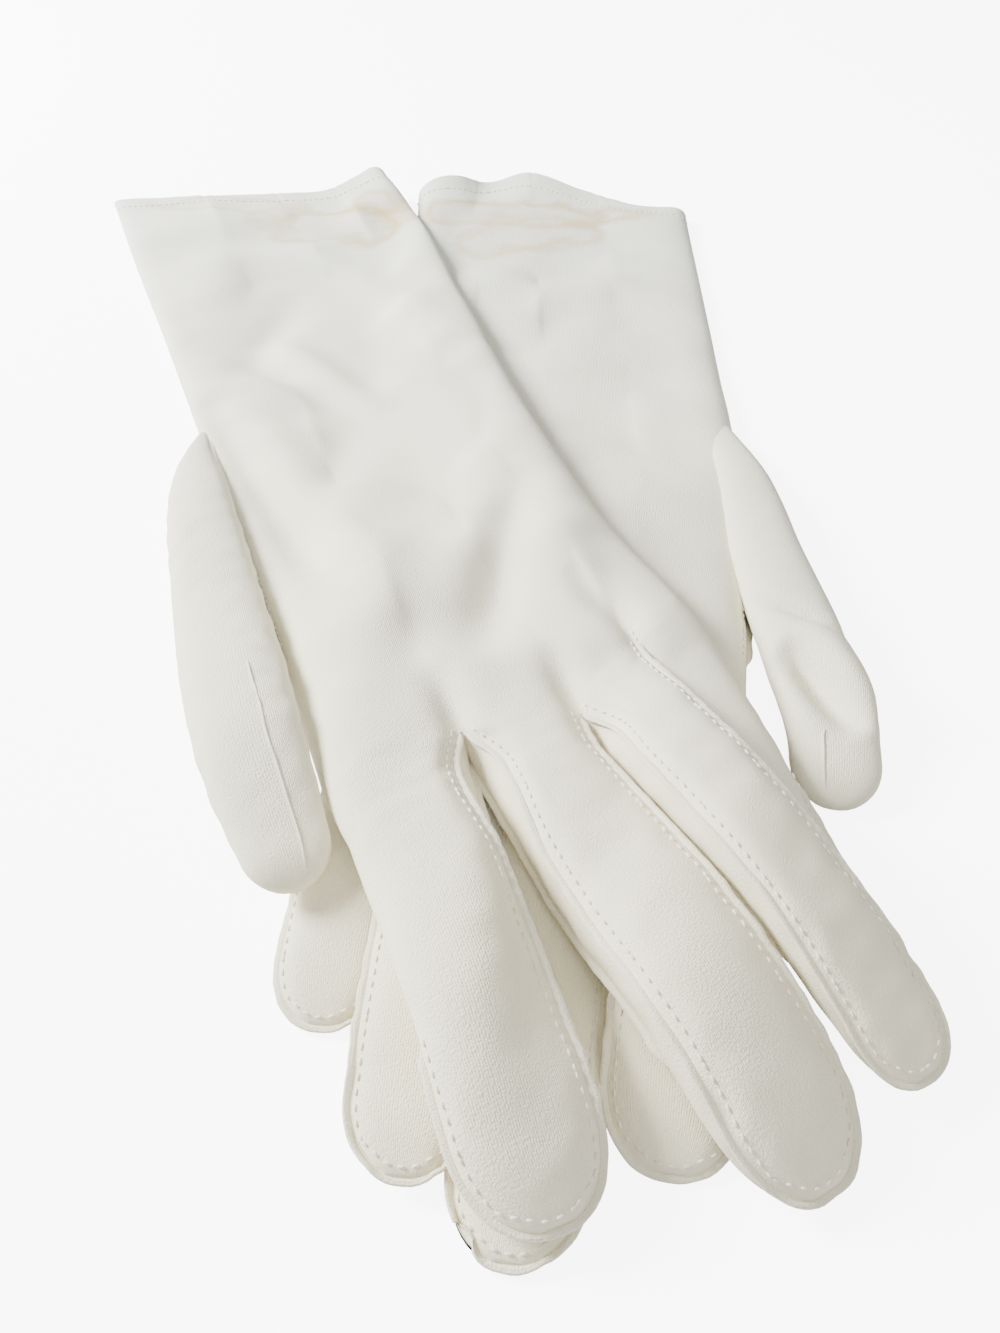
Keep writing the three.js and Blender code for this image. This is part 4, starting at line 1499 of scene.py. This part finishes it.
@dataclass(frozen=True)
class TableTop(PlainFinish):
    """A plain pale table that looks bright to the camera without lighting what lies on it."""

    seen: float = 6.5
    given: float = 0.05

    def build(self) -> bpy.types.Material:
        """Makes the material."""
        material = super().build()
        nodes, links = material.node_tree.nodes, material.node_tree.links
        shader = nodes["Principled BSDF"]
        shader.inputs["Emission Color"].default_value = (1.0, 1.0, 1.0, 1.0)
        path, glow = nodes.new("ShaderNodeLightPath"), nodes.new("ShaderNodeMath")
        glow.operation = "MULTIPLY_ADD"
        glow.inputs[1].default_value, glow.inputs[2].default_value = self.seen, self.given
        links.new(path.outputs["Is Camera Ray"], glow.inputs[0])
        links.new(glow.outputs[0], shader.inputs["Emission Strength"])
        return material


STAINS = (
    Stain((-0.021, 0.127, 0.004), 0.019, 1.5, 0.9),
    Stain((-0.008, 0.138, 0.006), 0.013, 1.8, 0.7),
    Stain((-0.057, 0.141, 0.003), 0.026, 5.0, 0.6),
    Stain((0.039, 0.120, 0.004), 0.020, 1.4, 0.7),
    Stain((0.036, 0.134, 0.005), 0.034, 4.5, 0.8),
)
TRANK_NYLON = RibbedNylon("glove_nylon", (0.775, 0.78, 0.69), (0.88, 0.82, 0.60), stains=STAINS)
FOURCHETTE_NYLON = RibbedNylon("fourchette_nylon", (0.76, 0.73, 0.60), (0.82, 0.76, 0.56))
EDGE_NYLON = RibbedNylon("seam_edge_nylon", (0.77, 0.76, 0.66), (0.84, 0.785, 0.60))
THREAD = PlainFinish("thread", (0.88, 0.86, 0.78), (0.72, 0.67, 0.54), 0.8, 900.0)
TABLE_TOP = TableTop("table_top", (0.86, 0.87, 0.88), (0.84, 0.85, 0.86), 0.9, 3.0)


@dataclass(frozen=True)
class Finishes:
    """The materials of the pair."""

    trank: bpy.types.Material
    fourchette: bpy.types.Material
    edge: bpy.types.Material
    thread: bpy.types.Material

    @classmethod
    def build(cls) -> "Finishes":
        """Makes the shared groups and the materials."""
        ribs, mark = ribbed_cloth_group(), water_stain_group()
        cloths = (nylon.build(ribs, mark) for nylon in (TRANK_NYLON, FOURCHETTE_NYLON, EDGE_NYLON))
        return cls(*cloths, THREAD.build())


class Flat(Enum):
    """Flat width and length of each kind of panel, in metres. A fourchette's length is its seam's."""

    HAND = (0.178, 0.29)
    FINGER = (0.048, 0.082)
    FOURCHETTE = (0.0105, 0.078)
    THUMB_OUTER = (0.044, 0.135)
    THUMB_INNER = (0.026, 0.135)
    GUSSET = (0.0105, 0.03)


class Bend(Enum):
    """Two distances, before and after the fold line where a finger leaves the hand, in metres."""

    BEFORE = 0.0034
    AFTER = 0.0080


class Glove:
    """One glove: its cloth panels, seam edges and stitches, the hand's pieces on the hand's body."""

    CLOTH = 0.5
    LEAST_SHARE = 0.31

    def __init__(self, lay: GloveLay, sewn: Sewn, finishes: Finishes, stitches: StitchRows,
                 joints: list[dict]) -> None:
        """Keeps what the glove is made from.

        Args:
            lay: How the glove lies.
            sewn: Its coarse shape.
            finishes: The materials.
            stitches: The maker of stitch rows.
            joints: The joints of the pair, for the place of each fold line.
        """
        self.lay, self.finishes, self.stitches = lay, finishes, stitches
        self.cloth = SmoothCloth(lay, sewn)
        self.sewn = sewn
        self.hand = f"{lay.name}_hand"
        self.joints = {joint["child"]: joint for joint in joints}
        self.local = Local(lay)

    def build(self) -> list[bpy.types.Object]:
        """Makes every piece of the glove and returns them."""
        made = [self._panel("hand", self.hand, ["hand_back", "hand_palm"], Flat.HAND)]
        for finger in FINGERS:
            body = f"{self.lay.name}_{finger}"
            nodes = [f"{finger}_finger_back", f"{finger}_finger_palm"]
            made.append(self._panel(f"{finger}_trank", body, nodes, Flat.FINGER))
            for side in ("thumb_side", "little_side"):
                panel = f"{finger}_fourchette_{side}"
                if panel in self.cloth.names:
                    made.append(self._panel(panel, body, [panel], Flat.FOURCHETTE))
            made += self._finger_trim(finger, body)
        thumb = f"{self.lay.name}_thumb"
        made.append(self._panel("thumb_outer", thumb, ["thumb_outer"], Flat.THUMB_OUTER))
        made.append(self._panel("thumb_inner", thumb, ["thumb_inner"], Flat.THUMB_INNER))
        made += self._thumb_trim(thumb)
        made.append(self._panel("thumb_gusset", self.hand, ["thumb_gusset"], Flat.GUSSET))
        made += self._hand_trim()
        for obj in made:
            LOG.info("%s: %d faces", obj.name, len(obj.data.polygons))
        return made

    def _bind(self, obj: bpy.types.Object, body: str) -> None:
        """Fastens a piece of the hand to the hand's body; a piece of a finger or the thumb is not fastened or
        bent, only its place is baked into its points.

        Args:
            obj: The finished piece.
            body: The body it belongs to: the hand, a finger or the thumb.
        """
        if body == self.hand:
            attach(obj, self.hand)
            return
        joint = self.joints[body]
        axis = np.array(joint["axis"], float)
        along = np.array([*self.local.along, 0.0])
        ahead = along if abs(axis[2]) > 0.5 else np.cross(axis, [0, 0, 1])
        ahead = ahead / np.linalg.norm(ahead)
        ahead *= math.copysign(1.0, float(ahead @ along))
        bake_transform(obj)

    def _panel(self, panel: str, body: str, nodes: list[str], flat: Flat) -> bpy.types.Object:
        """Args:
            panel: Name of the panel.
            body: The body it belongs to.
            nodes: The CAD nodes it stands for, without the glove's name.
            flat: Its flat size.
        """
        obj, area = self.cloth.cut(panel, self.CLOTH)
        strip = flat in (Flat.FOURCHETTE, Flat.GUSSET)
        obj.data.materials.append(self.finishes.fourchette if strip else self.finishes.trank)
        self._bind(obj, body)
        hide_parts(*(f"{self.lay.name}_{node}" for node in nodes))
        width, length = flat.value
        if flat is Flat.FOURCHETTE:
            rows = self.sewn.seams[panel.replace("_fourchette", "") + "_back"]
            points = self.cloth.co[rows]
            length = float(np.linalg.norm(np.diff(points, axis=0), axis=1).sum()) * MM
        area = min(max(area, self.LEAST_SHARE * width * length), width * length)
        return obj

    def _seam(self, numbers: Sequence[int], tilt: float = 0.25) -> Seam:
        """A seam over points of the sewn shape, its edge tilted up from flat (0) to upright (1)."""
        line, normal = self.cloth.path(numbers, SeamEdge.STEP)
        return Seam.along(line, normal, tilt)

    def _finger_trim(self, finger: str, body: str) -> list[bpy.types.Object]:
        """The seam edges and stitches round one finger."""
        seams = self.sewn.seams
        rows = len(seams[f"{finger}_thumb_side_back"])
        first = 0 if finger != "index" else int(rows * OUTER_STITCH_START["index"])
        last = 0 if finger != "little" else int(rows * OUTER_STITCH_START["little"])
        near = seams[f"{finger}_thumb_side_back"][first:]
        far = seams[f"{finger}_little_side_back"][last:]
        outline = list(near)[:-1] + [seams[f"{finger}_tip"][SPAN // 2]] + list(far)[:-1][::-1]
        edge = SeamEdge()
        edge.add(self._seam(outline), 1.0 + FINGERS.index(finger))
        for side in ("thumb_side", "little_side"):
            palm = seams.get(f"{finger}_{side}_palm")
            if palm:
                edge.add(self._seam(palm[:int(rows * PALM_EDGE_END)]), 11.0 + FINGERS.index(finger))
        trim = edge.build(f"{self.lay.name}_{finger}_seam_edge")
        trim.data.materials.append(self.finishes.edge)
        stitched = self._seam(seams[f"{finger}_stitch"], tilt=1.0)
        rows_of = self.stitches.build(f"{self.lay.name}_{finger}_stitches", [stitched])
        for obj in (trim, rows_of):
            self._bind(obj, body)
        return [trim, rows_of]

    def _thumb_trim(self, body: str) -> list[bpy.types.Object]:
        """The low seam edge over the end of the thumb."""
        seam = self._seam(self.sewn.seams["thumb_top"][int(THUMB_ROWS * self.lay.thumb_seam):])
        edge = SeamEdge(width=0.8, thickness=0.4)
        edge.add(seam, 6.0)
        trim = edge.build(f"{self.lay.name}_thumb_seam_edge")
        trim.data.materials.append(self.finishes.edge)
        self._bind(trim, body)
        return [trim]

    def _hand_trim(self) -> list[bpy.types.Object]:
        """The stitch line of the turned hem, and the seam where the thumb is set in."""
        hem = self._seam(self.sewn.seams["hem_line"], tilt=1.0)
        hole = self._seam(self.sewn.seams["thumb_hole_stitch"], tilt=1.0)
        edge = SeamEdge(width=1.6)
        edge.add(self._seam(self.sewn.seams["thumb_hole"], tilt=0.7), 9.0)
        trim = edge.build(f"{self.lay.name}_thumb_hole_edge")
        trim.data.materials.append(self.finishes.edge)
        rows_of = self.stitches.build(f"{self.lay.name}_hand_stitches", [hem, hole])
        for obj in (trim, rows_of):
            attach(obj, self.hand)
        return [trim, rows_of]


@dataclass(frozen=True)
class Lamp:
    """A soft square light aimed at the middle of the pair, in metres and watts."""

    name: str
    place: tuple[float, float, float]
    size: float
    power: float

    def build(self) -> None:
        """Makes the light."""
        data = bpy.data.lights.new(self.name, "AREA")
        data.size, data.energy = self.size, self.power
        lamp = bpy.data.objects.new(self.name, data)
        lamp.location = self.place
        lamp.rotation_euler = (-Vector(self.place)).to_track_quat("-Z", "Y").to_euler()
        bpy.context.scene.collection.objects.link(lamp)


class Studio:
    """The table, lights and camera."""

    CAMERA_HEIGHT = 0.132
    CAMERA_PITCH = 44.0
    LENS = 27.03
    SENSOR = 36.0
    NEAREST = 0.005
    LAMPS = (Lamp("key", (-0.70, 0.20, 0.46), 0.34, 34.0), Lamp("fill", (0.35, -0.6, 0.85), 0.9, 7.0))
    ROOM_TINT = (0.97, 0.98, 1.0, 1.0)
    ROOM_LIGHT = 0.46
    # The table reaches this far to each side and back, then curves up into a backdrop.
    WIDE, FAR, BACKDROP = 1.6, 1.4, 1.2
    COVE = ((0.0, 0.0), (0.2, 0.1), (0.3, BACKDROP))

    def build(self) -> None:
        """Sets the table and backdrop, the lights and the camera."""
        self._table(TABLE_TOP.build())
        for lamp in self.LAMPS:
            lamp.build()
        world = bpy.data.worlds.new("room")
        world.use_nodes = True
        room = world.node_tree.nodes["Background"]
        room.inputs["Color"].default_value = self.ROOM_TINT
        room.inputs["Strength"].default_value = self.ROOM_LIGHT
        bpy.context.scene.world = world
        data = bpy.data.cameras.new("camera")
        data.lens, data.sensor_width, data.clip_start = self.LENS, self.SENSOR, self.NEAREST
        camera = bpy.data.objects.new("camera", data)
        camera.location = (-PAIR_CENTRE[0] * MM, -PAIR_CENTRE[1] * MM, self.CAMERA_HEIGHT)
        camera.rotation_euler = (math.radians(self.CAMERA_PITCH), 0.0, 0.0)
        bpy.context.scene.collection.objects.link(camera)
        bpy.context.scene.camera = camera

    def _table(self, finish: bpy.types.Material) -> None:
        """The table top, curved up at the back."""
        line = [(-self.FAR, 0.0), *((self.FAR + back, up) for back, up in self.COVE)]
        points = [(x, y, z) for y, z in line for x in (-self.WIDE, self.WIDE)]
        faces = [(2 * i, 2 * i + 1, 2 * i + 3, 2 * i + 2) for i in range(len(line) - 1)]
        mesh = bpy.data.meshes.new("table")
        mesh.from_pydata(points, [], faces)
        mesh.polygons.foreach_set("use_smooth", [True] * len(faces))
        mesh.materials.append(finish)
        table = bpy.data.objects.new("table", mesh)
        bpy.context.scene.collection.objects.link(table)


def main() -> None:
    """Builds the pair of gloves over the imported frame."""
    logging.basicConfig(level=logging.INFO, format="%(message)s")
    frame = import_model()
    forms = form_gloves(frame["joints"])
    finishes = Finishes.build()
    stitches = StitchRows(StitchSizes(), finishes.thread)
    for lay in (RIGHT_GLOVE, LEFT_GLOVE):
        Glove(lay, forms[lay.name], finishes, stitches, frame["joints"]).build()
    Studio().build()
    bpy.context.view_layer.update()


if __name__ == "__main__":
    main()
